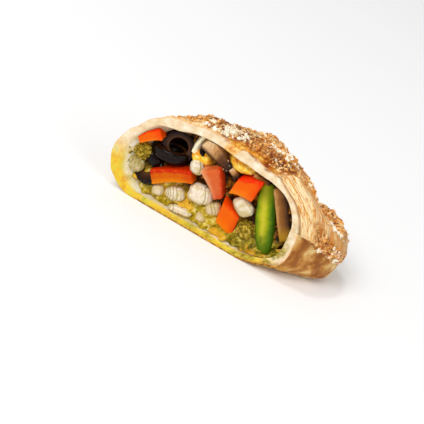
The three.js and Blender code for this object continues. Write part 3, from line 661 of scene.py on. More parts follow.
depth = FILLING_RECESS + lumps + behind_olives - bulge + sunk - curds + 0.6
depth = mix(depth, np.minimum(depth, 4.4 - 0.5 * curds), ramp(yellow_at(x, z), 0.35, 0.7))
depth = mix(depth, np.minimum(depth, 2.6), strand_at(x, z))
front, back = np.stack([x, depth, z], axis=-1), np.stack([x, 0 * x + BLOCK_BACK, z], axis=-1)
behind, faces = ACROSS_FACE * UP_FACE, []
for i in range(ACROSS_FACE - 1):
    for j in range(UP_FACE - 1):
        a, b = i * UP_FACE + j, (i + 1) * UP_FACE + j
        faces.append((a, b, b + 1, a + 1))
        faces.append((behind + a, behind + a + 1, behind + b + 1, behind + b))
outline = [i * UP_FACE for i in range(ACROSS_FACE)]
outline += [(ACROSS_FACE - 1) * UP_FACE + j for j in range(1, UP_FACE)]
outline += [i * UP_FACE + UP_FACE - 1 for i in reversed(range(ACROSS_FACE - 1))]
outline += list(range(UP_FACE - 2, 0, -1))
faces += [(a, behind + a, behind + b, b) for a, b in zip(outline, outline[1:] + outline[:1])]
filling = new_piece("filling_melt", np.concatenate([front.reshape(-1, 3), back.reshape(-1, 3)]), faces)
carve(filling, hollow, "INTERSECT")

own = np.array([v.co for v in filling.data.vertices]) * 1000 - np.array(MIDDLE_OF_CUT)
x, z = own[:, 0], own[:, 2]
strand = ramp(strand_at(x, z), 0.3, 0.7)
from_olives = np.hypot((x - OLIVES_X) / 15, (z - OLIVES_Z) / 11)
paint_value(filling, "behind_olives", (1 - ramp(from_olives, 0.7, 1.05)) * (1 - strand))
paint_value(filling, "strand", strand)
paint_value(filling, "yellow", ramp(yellow_at(x, z) + 0.1 * grain(own, 2.0, 19), 0.3, 0.6))

melt = Finish("melted cheese and greens")
place = add_node(melt.tree, "ShaderNodeSeparateXYZ", inputs={"Vector": melt.where}).outputs
wide, middling = melt.noise(7), melt.noise(2.6, 3)
runny = melt.steps(
    middling,
    (0.3, (104, 92, 2)), (0.4, (156, 134, 8)), (0.5, (190, 158, 22)), (0.6, (214, 188, 76)),
    (0.7, (234, 218, 158)),
)
olive_toned = melt.steps(
    middling, (0.34, (78, 70, 8)), (0.5, (136, 118, 20)), (0.62, (186, 168, 54)), (0.72, (226, 210, 130))
)
runny = melt.over(runny, melt.between(place["X"], 0.006, 0.014), olive_toned)
runny = melt.over(runny, melt.between(wide, 0.5, 0.62), (236, 176, 44), 0.8)
# Higher up the melt is painted dark brown: partly sauce, partly painted shade between the chunks.
sauce_and_shade = melt.steps(
    middling, (0.34, (40, 20, 6)), (0.5, (84, 46, 12)), (0.62, (170, 104, 22)), (0.72, (238, 176, 60))
)
level = melt.plus(place["Z"], melt.times(wide, 0.008))
shade = melt.over(runny, melt.between(level, 0.017, 0.023), sauce_and_shade)
# Painted shade: the filling in the hollow behind the olives is painted near black.
shade = melt.over(shade, melt.value("behind_olives"), (26, 14, 6))
shade = melt.over(shade, melt.specks(560, 0.25), (78, 80, 4))
run_out = melt.steps(middling, (0.32, (214, 116, 12)), (0.46, (250, 172, 36)), (0.6, (255, 214, 84)))
shade = melt.over(shade, melt.value("yellow"), run_out)
shade = melt.over(shade, melt.value("strand"), (255, 244, 208))
filling.data.materials.clear()
filling.data.materials.append(melt.done(shade, (0.9, 0.4, 0.12, 0.35), (0.15, 1.5), (1.0, 0.7, 0.2)))
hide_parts("filling")
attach(filling, "root")

# ---------------------------------------------------------------- the peppers
# Red sweet pepper in dice, and one strip of green pepper wall. A dice has glossy skin on its upper
# side and paler, juicy flesh below it. They were tucked in raw and softened in the oven.

dressed = []


def subdivided_cube(cuts):
    """Corners and faces of a cube of side 1 with its sides split evenly."""
    bm = bmesh.new()
    bmesh.ops.create_cube(bm, size=1)
    bmesh.ops.subdivide_edges(bm, edges=bm.edges[:], cuts=cuts, use_grid_fill=True)
    points = np.array([v.co for v in bm.verts])
    faces = [tuple(v.index for v in f.verts) for f in bm.faces]
    bm.free()
    return points, faces


def eased_block(cuts, size, softness):
    """A cube's points, and those of a block with eased edges that they become, and its faces."""
    points, faces = subdivided_cube(cuts)
    size = np.array(size)
    p = points * size
    inner = np.clip(p, softness - size / 2, size / 2 - softness)
    away = p - inner
    length = np.linalg.norm(away, axis=1, keepdims=True)
    return points, np.where(length > 1e-6, inner + away / np.maximum(length, 1e-6) * softness, p), faces


def keep_largest(piece):
    """Drops the scraps that carving left loose."""
    bm = bmesh.new()
    bm.from_mesh(piece.data)
    unseen, bodies = set(bm.verts), []
    while unseen:
        stack, body = [unseen.pop()], []
        while stack:
            vertex = stack.pop()
            body.append(vertex)
            for edge in vertex.link_edges:
                other = edge.other_vert(vertex)
                if other in unseen:
                    unseen.discard(other)
                    stack.append(other)
        bodies.append(body)
    bodies.sort(key=len)
    for body in bodies[:-1]:
        bmesh.ops.delete(bm, geom=body, context="VERTS")
    bm.to_mesh(piece.data)
    bm.free()


def set_chunk(name, slot, material, at, turn, shape):
    """It is turned about Z, then Y, then X, in degrees, and moved to its place in the roll."""
    own, faces, values = shape
    rotation = np.array(Euler([math.radians(a) for a in turn], "ZYX").to_matrix())
    piece = new_piece(name + "_chunk", own @ rotation.T + np.array(at), faces)
    for key, value in values.items():
        paint_value(piece, key, value)
    piece.data.materials.append(material)
    carve(piece, hollow, "INTERSECT")
    low, high = box_of(piece)
    for other in dressed:
        other_low, other_high = box_of(other)
        if (other_low < high).all() and (other_high > low).all():
            carve(piece, other, "DIFFERENCE")
    keep_largest(piece)
    piece.data.materials.clear()
    piece.data.materials.append(material)
    piece.data.shade_smooth()
    piece.data.set_sharp_from_angle(angle=math.radians(50))
    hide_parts(name)
    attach(piece, "root")
    dressed.append(piece)
    return piece


def box_of(piece):
    corners = np.array([v[:] for v in piece.bound_box])
    return corners.min(0), corners.max(0)


def dice(width, depth, height, taper=0.0, skew=0.0, arch=0.0, seed=1):
    """A cut dice with eased edges and slightly uneven sides."""
    points, p, faces = eased_block(15, (width, depth, height), 0.7)
    p += (points * 2) * 0.16 * grain(p, 3.0, seed)[:, None]
    level = p[:, 2] / height + 0.5
    along = p[:, 0] / width
    p[:, 2] *= 1 - taper * (along + 0.5)
    p[:, 0] += skew * p[:, 2]
    p[:, 2] += arch * (1 - 4 * along * along) - arch / 2
    return p, faces, {"level": level, "lengthwise": along + 0.5}


def pepper_finish(name, skin, flesh, pale, skin_from):
    """Skin colour at the top, over flesh that pales towards the cut side below."""
    pepper = Finish(name)
    uneven = pepper.plus(pepper.value("level"), pepper.times(pepper.noise(4), 0.3), -0.15)
    shade = pepper.steps(uneven, (0.05, pale), (0.4, flesh), (skin_from, flesh), (skin_from + 0.14, skin))
    shade = pepper.over(shade, pepper.between(pepper.noise(1.1, 2), 0.52, 0.75), pale, 0.35)
    lengthwise = pepper.plus(pepper.value("lengthwise"), pepper.times(pepper.noise(3), 0.3))
    shade = pepper.over(shade, pepper.between(lengthwise, 0.75, 1.15), skin, 0.55)
    return pepper.done(
        shade, (1.1, 0.5, 0.26, 0.12), (0.08, 1), (1.0, 0.35, 0.1), coat=(0.06, 0.08), specular=0.05
    )


orange_pepper = pepper_finish("orange-red pepper", (198, 38, 2), (208, 90, 0), (226, 134, 8), 0.66)
red_pepper = pepper_finish("red pepper", (234, 44, 2), (234, 94, 2), (236, 124, 16), 0.74)
pink_pepper = pepper_finish("pale red pepper", (204, 60, 16), (214, 98, 46), (226, 148, 98), 0.8)
low_pepper = pepper_finish("orange pepper", (226, 58, 2), (240, 98, 0), (244, 122, 2), 0.9)

for chunk in [
    ("pepper_centre", "orange_pepper", orange_pepper, (-21.8, 4.8, 20.0), (0, -30, 0),
     dice(21.2, 8, 7.6, taper=0.2, arch=1, seed=21)),
    ("pepper_left", "red_pepper", red_pepper, (-39.1, 4.3, 32.9), (0, -42, 0),
     dice(12.2, 7, 4.2, taper=-0.42, arch=0.4, seed=22)),
    ("pepper_tall", "pink_pepper", pink_pepper, (-1.4, 4.0, 28.1), (0, 54, 8),
     dice(15.3, 6.5, 10, taper=0.55, arch=0.4, seed=23)),
    ("pepper_right", "red_pepper", red_pepper, (12.9, 4.3, 34.2), (0, -14, 0),
     dice(12.1, 7, 8.6, taper=-0.31, skew=0.4, arch=0.8, seed=24)),
    ("pepper_low", "orange_pepper", low_pepper, (10.8, 5.0, 14.8), (0, 29, 15),
     dice(11.2, 6.5, 11, skew=-0.58, arch=0.5, seed=25)),
]:
    set_chunk(*chunk)

# The green strip is bowed and widest in the middle. It is painted lighter along the middle, as a painted
# highlight on the bow, and darker along its edges, as darker skin there and as painted shade where the
# bow turns away.
STRIP_WIDTH, STRIP_DEPTH, STRIP_LENGTH = 9.4, 4.6, 36.5
STRIP_BOW, STRIP_TIP, BLUNTNESS = 2, 3.6, 0.36
points, p, faces = eased_block(23, (STRIP_WIDTH, STRIP_DEPTH, STRIP_LENGTH), 1.0)
across, along_strip = points[:, 0] * 2, points[:, 2]
belly = np.maximum(1 - 4 * along_strip**2, 0)
p[:, 1] -= STRIP_BOW * (belly - 0.5) - 1.2 * across**2
p[:, 0] *= mix(STRIP_TIP / STRIP_WIDTH, 1, belly**BLUNTNESS)
p += 0.18 * grain(p, 4.0, 26)[:, None] * np.array([1, 1, 0])

green = Finish("green pepper")
lengthwise = green.value("lengthwise")
mottled = green.times(green.noise(3.0, 3), 0.5)
# Painted highlight and shade: lighter along the middle of the bow, darker towards its edges, where the skin
# is also darker.
off_middle = combine(green.tree, "ABSOLUTE", green.plus(green.value("across"), 0.15), 0)
shade = green.steps(
    green.plus(off_middle, mottled, -0.25),
    (0.1, (194, 186, 44)), (0.34, (164, 168, 12)), (0.6, (108, 136, 2)), (0.92, (50, 84, 0)),
)
foot = green.between(green.plus(lengthwise, mottled, -0.25), 0.44, 0.08)
shade = green.over(shade, foot, (70, 104, 0), 0.9)
shade = green.over(shade, green.between(lengthwise, 0.66, 0.9), (98, 104, 0), 0.75)
green_pepper = green.done(
    shade, (1.4, 0.4, 0.2, 0.14), (0.08, 1), (0.5, 1.0, 0.15), coat=(0.1, 0.08), specular=0.06
)
strip = (p, faces, {"across": across, "lengthwise": along_strip + 0.5})
set_chunk("pepper_green", "green_pepper", green_pepper, (27.3, 4.4, 24.2), (0, -21, 4), strip)

# ---------------------------------------------------------------- the olives
# Pitted black olives, sliced across. A ring has purple-black skin with an oily shine outside, and a
# paler, brownish flesh on its cut faces and round the hole where the stone was.


def olive_ring(radius, hole, thickness, squash, seed):
    """A ring about Z, pressed flatter from front to back."""
    middle, reach, half, turns, count = (radius + hole) / 2, (radius - hole) / 2, thickness / 2, 84, 40
    points, faces, flesh = [], [], []
    for i in range(turns):
        turn = 2 * np.pi * i / turns
        for a in np.linspace(0, 2 * np.pi, count, endpoint=False):
            r, h = middle + reach * signed_power(math.cos(a), 0.55), half * signed_power(math.sin(a), 0.55)
            points.append((r * math.cos(turn), r * math.sin(turn), h))
            flesh.append(1 - (r - hole) / (radius - hole))
        for j in range(count):
            here, there = i * count, ((i + 1) % turns) * count
            faces.append((here + j, there + j, there + (j + 1) % count, here + (j + 1) % count))
    p = np.array(points)
    p *= 1 + 0.02 * grain(p, 6.0, seed)[:, None]
    p += 0.07 * grain(p, 1.2, seed + 1)[:, None]
    p[:, 1] *= squash
    return p, faces, {"flesh": np.array(flesh)}


def pebble(width, depth, height, softness, seed, uneven=0.25, layers=()):
    """A soft-cornered piece, between a ball and a block, with grooves where its layers meet."""
    points, faces = subdivided_cube(39 if layers else 17)
    p = points / np.linalg.norm(points, axis=1, keepdims=True)
    p = signed_power(p, softness) * np.array([width, depth, height]) / 2
    p *= 1 + uneven * 0.3 * grain(p, 3.2, seed)[:, None]
    bent = p[:, 0] / width + 0.5 * (p[:, 2] / height) ** 2
    groove = sum((np.exp(-(((bent - at) * width / 0.3) ** 2)) for at in layers), np.zeros(len(p)))
    p *= (1 - 0.04 * groove)[:, None]
    values = {"level": points[:, 2] + 0.5, "lengthwise": points[:, 0] + 0.5}
    edge = np.sort(np.abs(points) * 2, axis=1)[:, 1]
    return p, faces, values | {"between_layers": np.clip(groove, 0, 1), "edge": edge}


olive = Finish("black olive")
shade = olive.steps(
    olive.plus(olive.value("flesh"), olive.times(olive.noise(2.2), 0.25), -0.12),
    (0.1, (16, 5, 2)), (0.3, (34, 14, 5)), (0.6, (60, 31, 13)), (0.84, (84, 50, 25)), (0.95, (24, 9, 3)),
)
shade = olive.over(shade, olive.specks(800, 0.3), (96, 70, 52), 0.25)
olive_skin = olive.done(shade, (1.1, 0.5, 0.24, 0.22), coat=(0.22, 0.05), specular=0.06)

for name, at, turn, shape in [
    ("olive_back", (-25.6, 7.9, 33.0), (80, 6, 0), olive_ring(8.7, 4.4, 3.6, 0.92, 31)),
    ("olive_front", (-28.1, 8.1, 28.0), (0, -7, 0), olive_ring(9.9, 5.6, 5.6, 0.74, 33)),
    ("olive_left", (-33.8, 6.8, 15.2), (62, -20, 0), olive_ring(8, 1.8, 5.4, 1, 35)),
    ("olive_bit", (-13.4, 5.4, 37.6), (20, 50, 0), pebble(4.2, 4, 2.4, 0.8, 36)),
    ("olive_under", (-34.0, 6.2, 21.4), (0, 30, 0), pebble(10, 6.4, 7, 0.9, 37)),
    ("olive_right", (37.4, 8.2, 15.6), (0, -20, 0), pebble(7, 6, 9, 0.8, 38)),
]:
    set_chunk(name, "olive", olive_skin, at, turn, shape)

# ---------------------------------------------------------------- the mushrooms
# Brown mushroom in slices: fawn flesh that turned brown in the oven, darker towards the gills and
# along the edge of the cap. The dark side of each slice is partly painted shade as well.


def mushroom_finish(name, dark, brown, fawn, pale, foot, light_flecks=0.0):
    slice_ = Finish(name)
    lengthwise = slice_.plus(slice_.value("lengthwise"), slice_.times(slice_.noise(3, 3), 0.4), -0.2)
    # From pale on one side to dark on the other: the gills' colour, and partly painted shade on the side away
    # from the lamps.
    shade = slice_.steps(lengthwise, (0.05, pale), (0.35, fawn), (0.62, brown), (0.9, dark))
    shade = slice_.over(shade, slice_.between(slice_.value("level"), 0.34, 0.08), foot, 0.95)
    fibres = slice_.noise(0.8, 2, (1, 1, 0.3))
    shade = slice_.over(shade, slice_.between(fibres, 0.5, 0.7), brown, 0.35)
    flecks = slice_.times(slice_.specks(620, 0.5), slice_.between(lengthwise, 0.6, 0.8))
    shade = slice_.over(shade, flecks, pale, light_flecks)
    return slice_.done(shade, (0.9, 0.5, 0.28, 0.1), (0.1, 1), extra_height=fibres)


brown_slice = mushroom_finish(
    "mushroom slice", (60, 32, 10), (118, 70, 22), (146, 94, 36), (204, 150, 88), (172, 126, 12)
)
cap_slice = mushroom_finish(
    "mushroom cap slice", (36, 20, 14), (108, 66, 32), (202, 148, 88), (230, 190, 140), (60, 34, 18), 0.8
)
for chunk in [
    ("mushroom_right", "mushroom", brown_slice, (33.8, 6.2, 30.6), (0, -31, 0), dice(6.4, 7, 26.4, seed=41)),
    ("mushroom_top", "mushroom_cap", cap_slice, (-6.0, 5.8, 41.2), (5, 28, 7),
     dice(17.3, 7, 7.7, taper=0.3, arch=0.4, seed=42)),
    ("mushroom_stem", "mushroom_cap", cap_slice, (4.4, 6.2, 36.4), (0, 30, 0), dice(6, 5, 3.2, seed=43)),
    ("mushroom_sliver", "mushroom", brown_slice, (17.8, 5.4, 41.2), (0, 2, 0), dice(9, 5, 2.2, seed=44)),
]:
    set_chunk(*chunk)

# ---------------------------------------------------------------- the yellow cheese
# Bits of yellow cheese that melted last: glossy, rounded and deep yellow where they browned.

cheese = Finish("yellow cheese")
shade = cheese.steps(
    cheese.noise(2.4, 3), (0.3, (250, 160, 16)), (0.46, (255, 206, 56)), (0.62, (255, 236, 146))
)
yellow_cheese = cheese.done(shade, (1.2, 0.35, 0.14, 0.15), (0.3, 1.5), (1.0, 0.6, 0.2))
for name, at, turn, shape in [
    ("cheese_top", (8.2, 5.6, 41.4), (0, 4, 0), pebble(9, 6, 3.6, 0.8, 51, 0.8)),
    ("cheese_middle", (-13.9, 6.2, 35.2), (0, 10, 0), pebble(9.4, 5, 4.8, 0.8, 52, 0.8)),
]:
    set_chunk(name, "cheese", yellow_cheese, at, turn, shape)

# ---------------------------------------------------------------- the onions
# White onion in dice, softened until it is glassy. Each is a few layers of the bulb, so it has fine
# lines along it and greenish edges where the layers meet. Towards its foot and round its rim it is
# painted darker and yellower, as painted shade.

onion = Finish("white onion")
fibres, blush = onion.noise(1.0, 2, (1.0, 1.0, 0.25)), onion.noise(4)
shade = onion.steps(
    blush, (0.3, (214, 197, 144)), (0.42, (228, 214, 180)), (0.54, (245, 235, 219)), (0.68, (230, 209, 184))
)
shade = onion.over(shade, onion.between(fibres, 0.6, 0.72), (206, 186, 110), 0.25)
shade = onion.over(shade, onion.value("stewed"), (196, 162, 84))
shade = onion.over(shade, onion.value("between_layers"), (140, 124, 30), 0.8)
# Painted shade: towards its foot and round its edges the onion is painted darker and yellower.
foot = onion.between(onion.plus(onion.value("level"), onion.times(blush, 0.4), -0.2), 0.5, -0.05)
shade = onion.over(shade, foot, (176, 152, 62), 0.85)
edges = onion.between(onion.plus(onion.value("edge"), onion.times(blush, 0.5), -0.25), 0.6, 1.1)
shade = onion.over(shade, edges, (180, 156, 90), 0.75)
white_onion = onion.done(
    shade, (1.4, 0.3, 0.12, 0.1), (0.25, 2), (1.0, 0.8, 0.4), coat=(0.4, 0.08), extra_height=fibres
)
for name, stewed, at, turn, size, seed, uneven, layers in [
    ("upper", 0.1, (-13.0, 4.4, 29.8), (0, -12, 10), (6.6, 5, 7.4, 0.66), 61, 0.4, (0.32,)),
    ("left", 0.4, (-25.6, 4.4, 8.9), (0, -10, 0), (6, 5.4, 6.4, 0.76), 62, 0.5, ()),
    ("layers", 0.15, (-17.2, 4.6, 11.6), (0, -18, 0), (10.4, 6.2, 7.4, 0.74), 63, 0.35,
     (-0.26, -0.14, 0.02, 0.2)),
    ("bright", 0.15, (-6.0, 4.6, 18.2), (0, -12, 0), (12.2, 7, 9.8, 0.68), 64, 0.35, (0.3,)),
    ("small", 0.6, (2.8, 4.4, 14.8), (0, -30, 0), (7.4, 5.4, 6.8, 0.7), 65, 0.4, (0.02, 0.24)),
    ("right", 0.25, (15.2, 5.2, 23.6), (0, 32, 0), (10.4, 6, 8.6, 0.6), 66, 0.35, ()),
    ("sliver", 0.3, (-11.0, 3.8, 5.8), (0, -8, 0), (12.6, 5, 4.2, 0.76), 67, 0.8, (-0.26,)),
    ("low", 0.5, (-1.0, 4.4, 7.4), (0, 0, 0), (5.4, 5, 4.2, 0.78), 68, 0.8, ()),
]:
    own, faces, values = pebble(*size, seed, uneven, layers)
    values["stewed"] = np.full(len(own), stewed)
    set_chunk("onion_" + name, "onion", white_onion, at, turn, (own, faces, values))

# ---------------------------------------------------------------- the broccoli
# Two small broccoli heads, with hundreds of olive-green buds on them, and the pale stem below the
# left one, cut through lengthwise.

buds_green = Finish("broccoli buds")
shade = buds_green.steps(
    buds_green.noise(1.3, 2),
    (0.3, (78, 66, 6)), (0.45, (136, 110, 16)), (0.58, (186, 154, 40)), (0.7, (226, 200, 104)),
)
broccoli_green = buds_green.done(shade, (0.5, 0.6, 0.4, 0.1))

stem = Finish("broccoli stem")
fibres = stem.noise(1.0, 2, (1.0, 1.0, 0.3))
shade = stem.steps(fibres, (0.3, (136, 120, 46)), (0.48, (178, 156, 94)), (0.66, (208, 192, 146)))
stem_green = stem.done(shade, (1.2, 0.4, 0.24, 0.15), (0.3, 1.5), extra_height=fibres)

BIT_SIZE = 0.001


def scatter_tree(name, bit_kind, bit_inputs):
    """Geometry nodes that strew bits over a surface where its value `strewn` is high."""
    tree = bpy.data.node_groups.new(name, "GeometryNodeTree")
    numbers = {"Per Square Metre": 1e6, "Smallest": 0.5, "Largest": 1.0, "Raggedness": 0.3, "Flatness": 1.0}
    sockets = {"Geometry": ("Geometry", None)} | {key: ("Float", value) for key, value in numbers.items()}
    sockets |= {"Seed": ("Int", 1), "Finish": ("Material", None)}
    given, result = add_sockets(tree, sockets, {"Geometry": "Geometry"})

    def made(kind, output=0, settings=None, **inputs):
        inputs = {key.replace("_", " "): value for key, value in inputs.items()}
        return add_node(tree, kind, settings, inputs).outputs[output]

    def vector(operation, inputs, output=0):
        return add_node(tree, "ShaderNodeVectorMath", {"operation": operation}, inputs).outputs[output]

    def drawn(seed, low, high):
        inputs = {2: low, 3: high, "Seed": seed}
        return add_node(tree, "FunctionNodeRandomValue", {"data_type": "FLOAT"}, inputs).outputs[1]

    strewn = made("GeometryNodeInputNamedAttribute", 0, {"data_type": "FLOAT"}, Name="strewn")
    density = combine(tree, "MULTIPLY", strewn, given["Per Square Metre"])
    spots = made(
        "GeometryNodeDistributePointsOnFaces", "Points", {"distribute_method": "RANDOM"},
        Mesh=given["Geometry"], Density=density, Seed=given["Seed"],
    )
    bit = add_node(tree, bit_kind, inputs=bit_inputs).outputs[0]
    place = tree.nodes.new("GeometryNodeInputPosition").outputs[0]
    length = combine(tree, "MULTIPLY", vector("LENGTH", {0: place}, "Value"), 0.4)
    even = combine(tree, "ADD", length, BIT_SIZE * 0.36)
    rounded = vector("SCALE", {0: vector("NORMALIZE", {0: place}), "Scale": even})
    bit = made("GeometryNodeSetPosition", Geometry=bit, Position=rounded)
    turns = {1: (6.28, 6.28, 6.28)}
    spin = add_node(tree, "FunctionNodeRandomValue", {"data_type": "FLOAT_VECTOR"}, turns).outputs[0]
    rarely_big = combine(tree, "POWER", drawn(3, 0.0, 1.0), 2.0)
    sizes = {"To_Min": given["Smallest"], "To_Max": given["Largest"]}
    grown = made("ShaderNodeMapRange", Value=rarely_big, **sizes)
    thin = combine(tree, "MULTIPLY", grown, given["Flatness"])
    long = combine(tree, "MULTIPLY", grown, drawn(8, 0.6, 1.5))
    size = made("ShaderNodeCombineXYZ", X=long, Y=grown, Z=thin)
    bits = made("GeometryNodeInstanceOnPoints", Points=spots, Instance=bit, Rotation=spin, Scale=size)
    real = made("GeometryNodeRealizeInstances", Geometry=bits)
    again = tree.nodes.new("GeometryNodeInputPosition").outputs[0]
    rough = made("ShaderNodeTexNoise", "Color", Vector=again, Scale=1.7 / BIT_SIZE, Detail=1.0)
    amount = combine(tree, "MULTIPLY", given["Raggedness"], BIT_SIZE)
    centred = vector("SUBTRACT", {0: rough, 1: (0.5, 0.5, 0.5)})
    push = vector("SCALE", {0: centred, "Scale": amount})
    ragged = made("GeometryNodeSetPosition", Geometry=real, Offset=push)
    finished = made("GeometryNodeSetMaterial", Geometry=ragged, Material=given["Finish"])
    tree.links.new(finished, result["Geometry"])
    return tree


def strew(name, slot, over_piece, strewn, tree, **settings):
    piece = bpy.data.objects.new(name, over_piece.data.copy())
    bpy.context.scene.collection.objects.link(piece)
    paint_value(piece, "strewn", strewn)
    modifier = piece.modifiers.new(name, "NODES")
    modifier.node_group = tree
    keys = {s.name: s.identifier for s in tree.interface.items_tree if s.in_out == "INPUT"}
    for key, value in settings.items():
        modifier[keys[key.replace("_", " ")]] = value
    settle(piece)
    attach(piece, "root")


bud_tree = scatter_tree("buds", "GeometryNodeMeshIcoSphere", {"Radius": BIT_SIZE / 2, "Subdivisions": 1})
for name, at, radius, seed in [
    ("broccoli_left", (-40.0, 4.8, 23.4), 4.9, 71),
    ("broccoli_right", (21.0, 5.6, 13.4), 5.2, 72),
]:
    points, faces = subdivided_cube(17)
    p = points / np.linalg.norm(points, axis=1, keepdims=True) * radius
    clusters = np.abs(grain(p, 3.6, seed)) * 0.2 + 0.03 * grain(p, 1.5, seed + 5)
    p *= (0.84 + clusters)[:, None]
    head = set_chunk(name, "broccoli", broccoli_green, at, (0, 0, 0), (p, faces, {}))
    everywhere = np.ones(len(head.data.vertices))
    strew(
        name + "_buds", "broccoli", head, everywhere, bud_tree, Per_Square_Metre=2.1e6,
        Smallest=0.55, Largest=1.1, Raggedness=0.1, Seed=seed, Finish=broccoli_green,
    )

# Loose buds stick to the dough beside the left head.
beside_head = patch(around, 148, 158, 186, 202) * inner_skin * patch(from_cut, 0.8, 1.6, 7, 11)
beside_head *= ramp(grain(rows, 2.4, 74) + 0.5 * grain(rows, 1.2, 75), -0.1, 0.4)
strew(
    "loose_buds", "broccoli", crust, per_point(beside_head), bud_tree, Per_Square_Metre=1.3e6,
    Smallest=0.5, Largest=1.3, Raggedness=0.5, Seed=76, Finish=broccoli_green,
)
shape = pebble(8.6, 5, 7.6, 0.84, 73, 0.9)
set_chunk("broccoli_stem", "broccoli_stem", stem_green, (-40.8, 3.8, 15.8), (0, -20, 0), shape)
bpy.data.objects.remove(hollow)

# ---------------------------------------------------------------- the baked crumbs
# Grated hard cheese, strewn over the roof before baking. It lies thickest behind the cut, in white
# clumps, and elsewhere it baked to golden bits.

pale = Finish("baked cheese crumb")
shade = pale.steps(
    pale.noise(2.4, 3), (0.3, (206, 150, 96)), (0.42, (240, 214, 172)), (0.56, (255, 247, 230))
)
pale_crumb = pale.done(shade, (0.5, 0.7, 0.5, 0.08), (0.2, 1))

golden = Finish("golden cheese crumb")
shade = golden.steps(
    golden.noise(3.0, 3),
    (0.3, (128, 60, 14)), (0.4, (200, 116, 34)), (0.5, (230, 164, 76)), (0.62, (248, 214, 152)),
)
golden_crumb = golden.done(shade, (0.5, 0.6, 0.4, 0.1))

clumps = ramp(grain(rows, 5.5, 81) + 0.5 * grain(rows, 2.6, 82), 0.0, 0.35)
ridge_patch = patch(around, 85, 88, 97, 102) * patch(from_cut, 0.6, 1.6, 7, 11)
ridge_patch = ridge_patch * ramp(grain(rows, 2.6, 83) + 0.3 * grain(rows, 1.3, 84), -0.3, 0)
second_patch = 0.1 * clumps * patch(around, 66, 72, 84, 90) * patch(from_cut, 6, 8, 16, 24)
all_over = patch(around, 52, 66, 116, 182) * ramp(from_cut, 1, 3)
white_here = (ridge_patch + second_patch + 0.06 * clumps * all_over * ramp(from_cut, 4, 8)) * outer_skin
on_foot = flap_foot * patch(from_cut, 2, 5, 40, 60)
flap_edge = patch(past_seam, 26, 32, 44, 50) * patch(from_cut, 4, 7, 14, 20) * outer_skin
white_here = np.clip(white_here + 0.15 * clumps * on_foot + 0.25 * flap_edge * clumps, 0, 1)
golden_here = (0.2 + 0.8 * clumps) * (all_over * (1 - ridge_patch) + 0.7 * on_foot) * outer_skin
at_rim = patch(around, 60, 68, 80, 86) * patch(from_cut, 0.2, 1, 6, 10) * outer_skin
golden_here = np.clip(golden_here + 0.5 * at_rim, 0, 1)

# Crumbs thin out where they would stand higher, or further over the cut, than the part does.
room = np.minimum((box_high - rows).min(axis=-1), rows[..., 1] - box_low[1] + 0.2)
room = ramp(room, 1.4, 2.3)
bit_inputs = {"Size": (BIT_SIZE,) * 3, "Vertices X": 3, "Vertices Y": 3, "Vertices Z": 3}
crumb_tree = scatter_tree("crumbs", "GeometryNodeMeshCube", bit_inputs)
for name, strewn, material, per_metre, small, large, seed in [
    ("white_crumbs", white_here, pale_crumb, 2.2e6, 0.55, 2.1, 5),
    ("golden_crumbs", golden_here, golden_crumb, 7.0e5, 0.35, 1.5, 6),
]:
    strew(
        name, "crust", crust, per_point(strewn * room), crumb_tree, Per_Square_Metre=per_metre,
        Smallest=small, Largest=large, Raggedness=2.6, Flatness=0.75, Seed=seed, Finish=material,
    )

# ---------------------------------------------------------------- the studio
# A white table top and paper, a broad soft lamp to the left, a weaker one to the right, and a small
# one overhead that makes the moist pieces glisten.

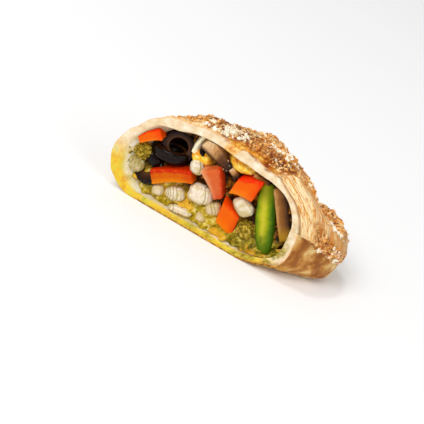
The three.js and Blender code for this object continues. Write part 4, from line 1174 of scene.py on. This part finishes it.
bpy.ops.mesh.primitive_plane_add(size=6, location=(0, 0, 0))
floor = bpy.context.object
floor.name = "table_top"
paper = Finish("white paper")
shades = add_node(paper.tree, "ShaderNodeValToRGB", inputs={"Fac": paper.noise(400)})
for element, place, grey in zip(shades.color_ramp.elements, (0.3, 0.7), (0.93, 0.95)):
    element.position, element.color = place, (grey, grey, grey, 1)
shader = paper.tree.nodes["Principled BSDF"]
paper.tree.links.new(shades.outputs["Color"], shader.inputs["Base Color"])
shader.inputs["Specular IOR Level"].default_value = 0.16
shader.inputs["Roughness"].default_value = 0.9
floor.data.materials.append(paper.material)

world = bpy.data.worlds.new("studio")
bpy.context.scene.world = world
world.use_nodes = True
world.node_tree.nodes["Background"].inputs["Color"].default_value = (1, 1, 1, 1)
world.node_tree.nodes["Background"].inputs["Strength"].default_value = 0.51
for name, at, size, watts in [
    ("lamp_left", (-0.8, -1.5, 1.8), 1.2, 31),
    ("lamp_right", (1.6, -0.9, 1.3), 1.2, 8),
    ("lamp_top", (-0.35, -0.15, 1.2), 0.16, 2.5),
]:
    lamp = bpy.data.lights.new(name, "AREA")
    lamp.size, lamp.energy = size, watts
    holder = bpy.data.objects.new(name, lamp)
    bpy.context.scene.collection.objects.link(holder)
    holder.location = at
    holder.rotation_euler = (-Vector(at)).to_track_quat("-Z", "Y").to_euler()

# The camera stands 0.6 m off, turned 10 degrees to the right and 28 up, and is rolled.
TURN, RISE, ROLL = math.radians(10), math.radians(28), math.radians(25.3)
DISTANCE, MM_PER_PIXEL, FRAME = 600, 0.47, 424
back = Vector((math.sin(TURN) * math.cos(RISE), -math.cos(TURN) * math.cos(RISE), math.sin(RISE)))
level_right = Vector((math.cos(TURN), math.sin(TURN), 0))
level_up = back.cross(level_right)
right = math.cos(ROLL) * level_right + math.sin(ROLL) * level_up
up = -math.sin(ROLL) * level_right + math.cos(ROLL) * level_up
middle = Vector((0, 0, 22))
eye = middle + back * DISTANCE
aim = middle + (right * 1 - up * 15) * MM_PER_PIXEL
camera = bpy.data.objects.new("camera", bpy.data.cameras.new("camera"))
bpy.context.scene.collection.objects.link(camera)
toward = (eye - aim).normalized()
side = up.cross(toward).normalized()
pose = Matrix((side, toward.cross(side), toward)).transposed().to_4x4()
pose.translation = ROLL_TO_PART @ eye
camera.matrix_world = pose
camera.data.lens = camera.data.sensor_width * DISTANCE / MM_PER_PIXEL / FRAME
camera.data.clip_start = 0.01
bpy.context.scene.camera = camera
bpy.context.scene.view_settings.view_transform = "Standard"
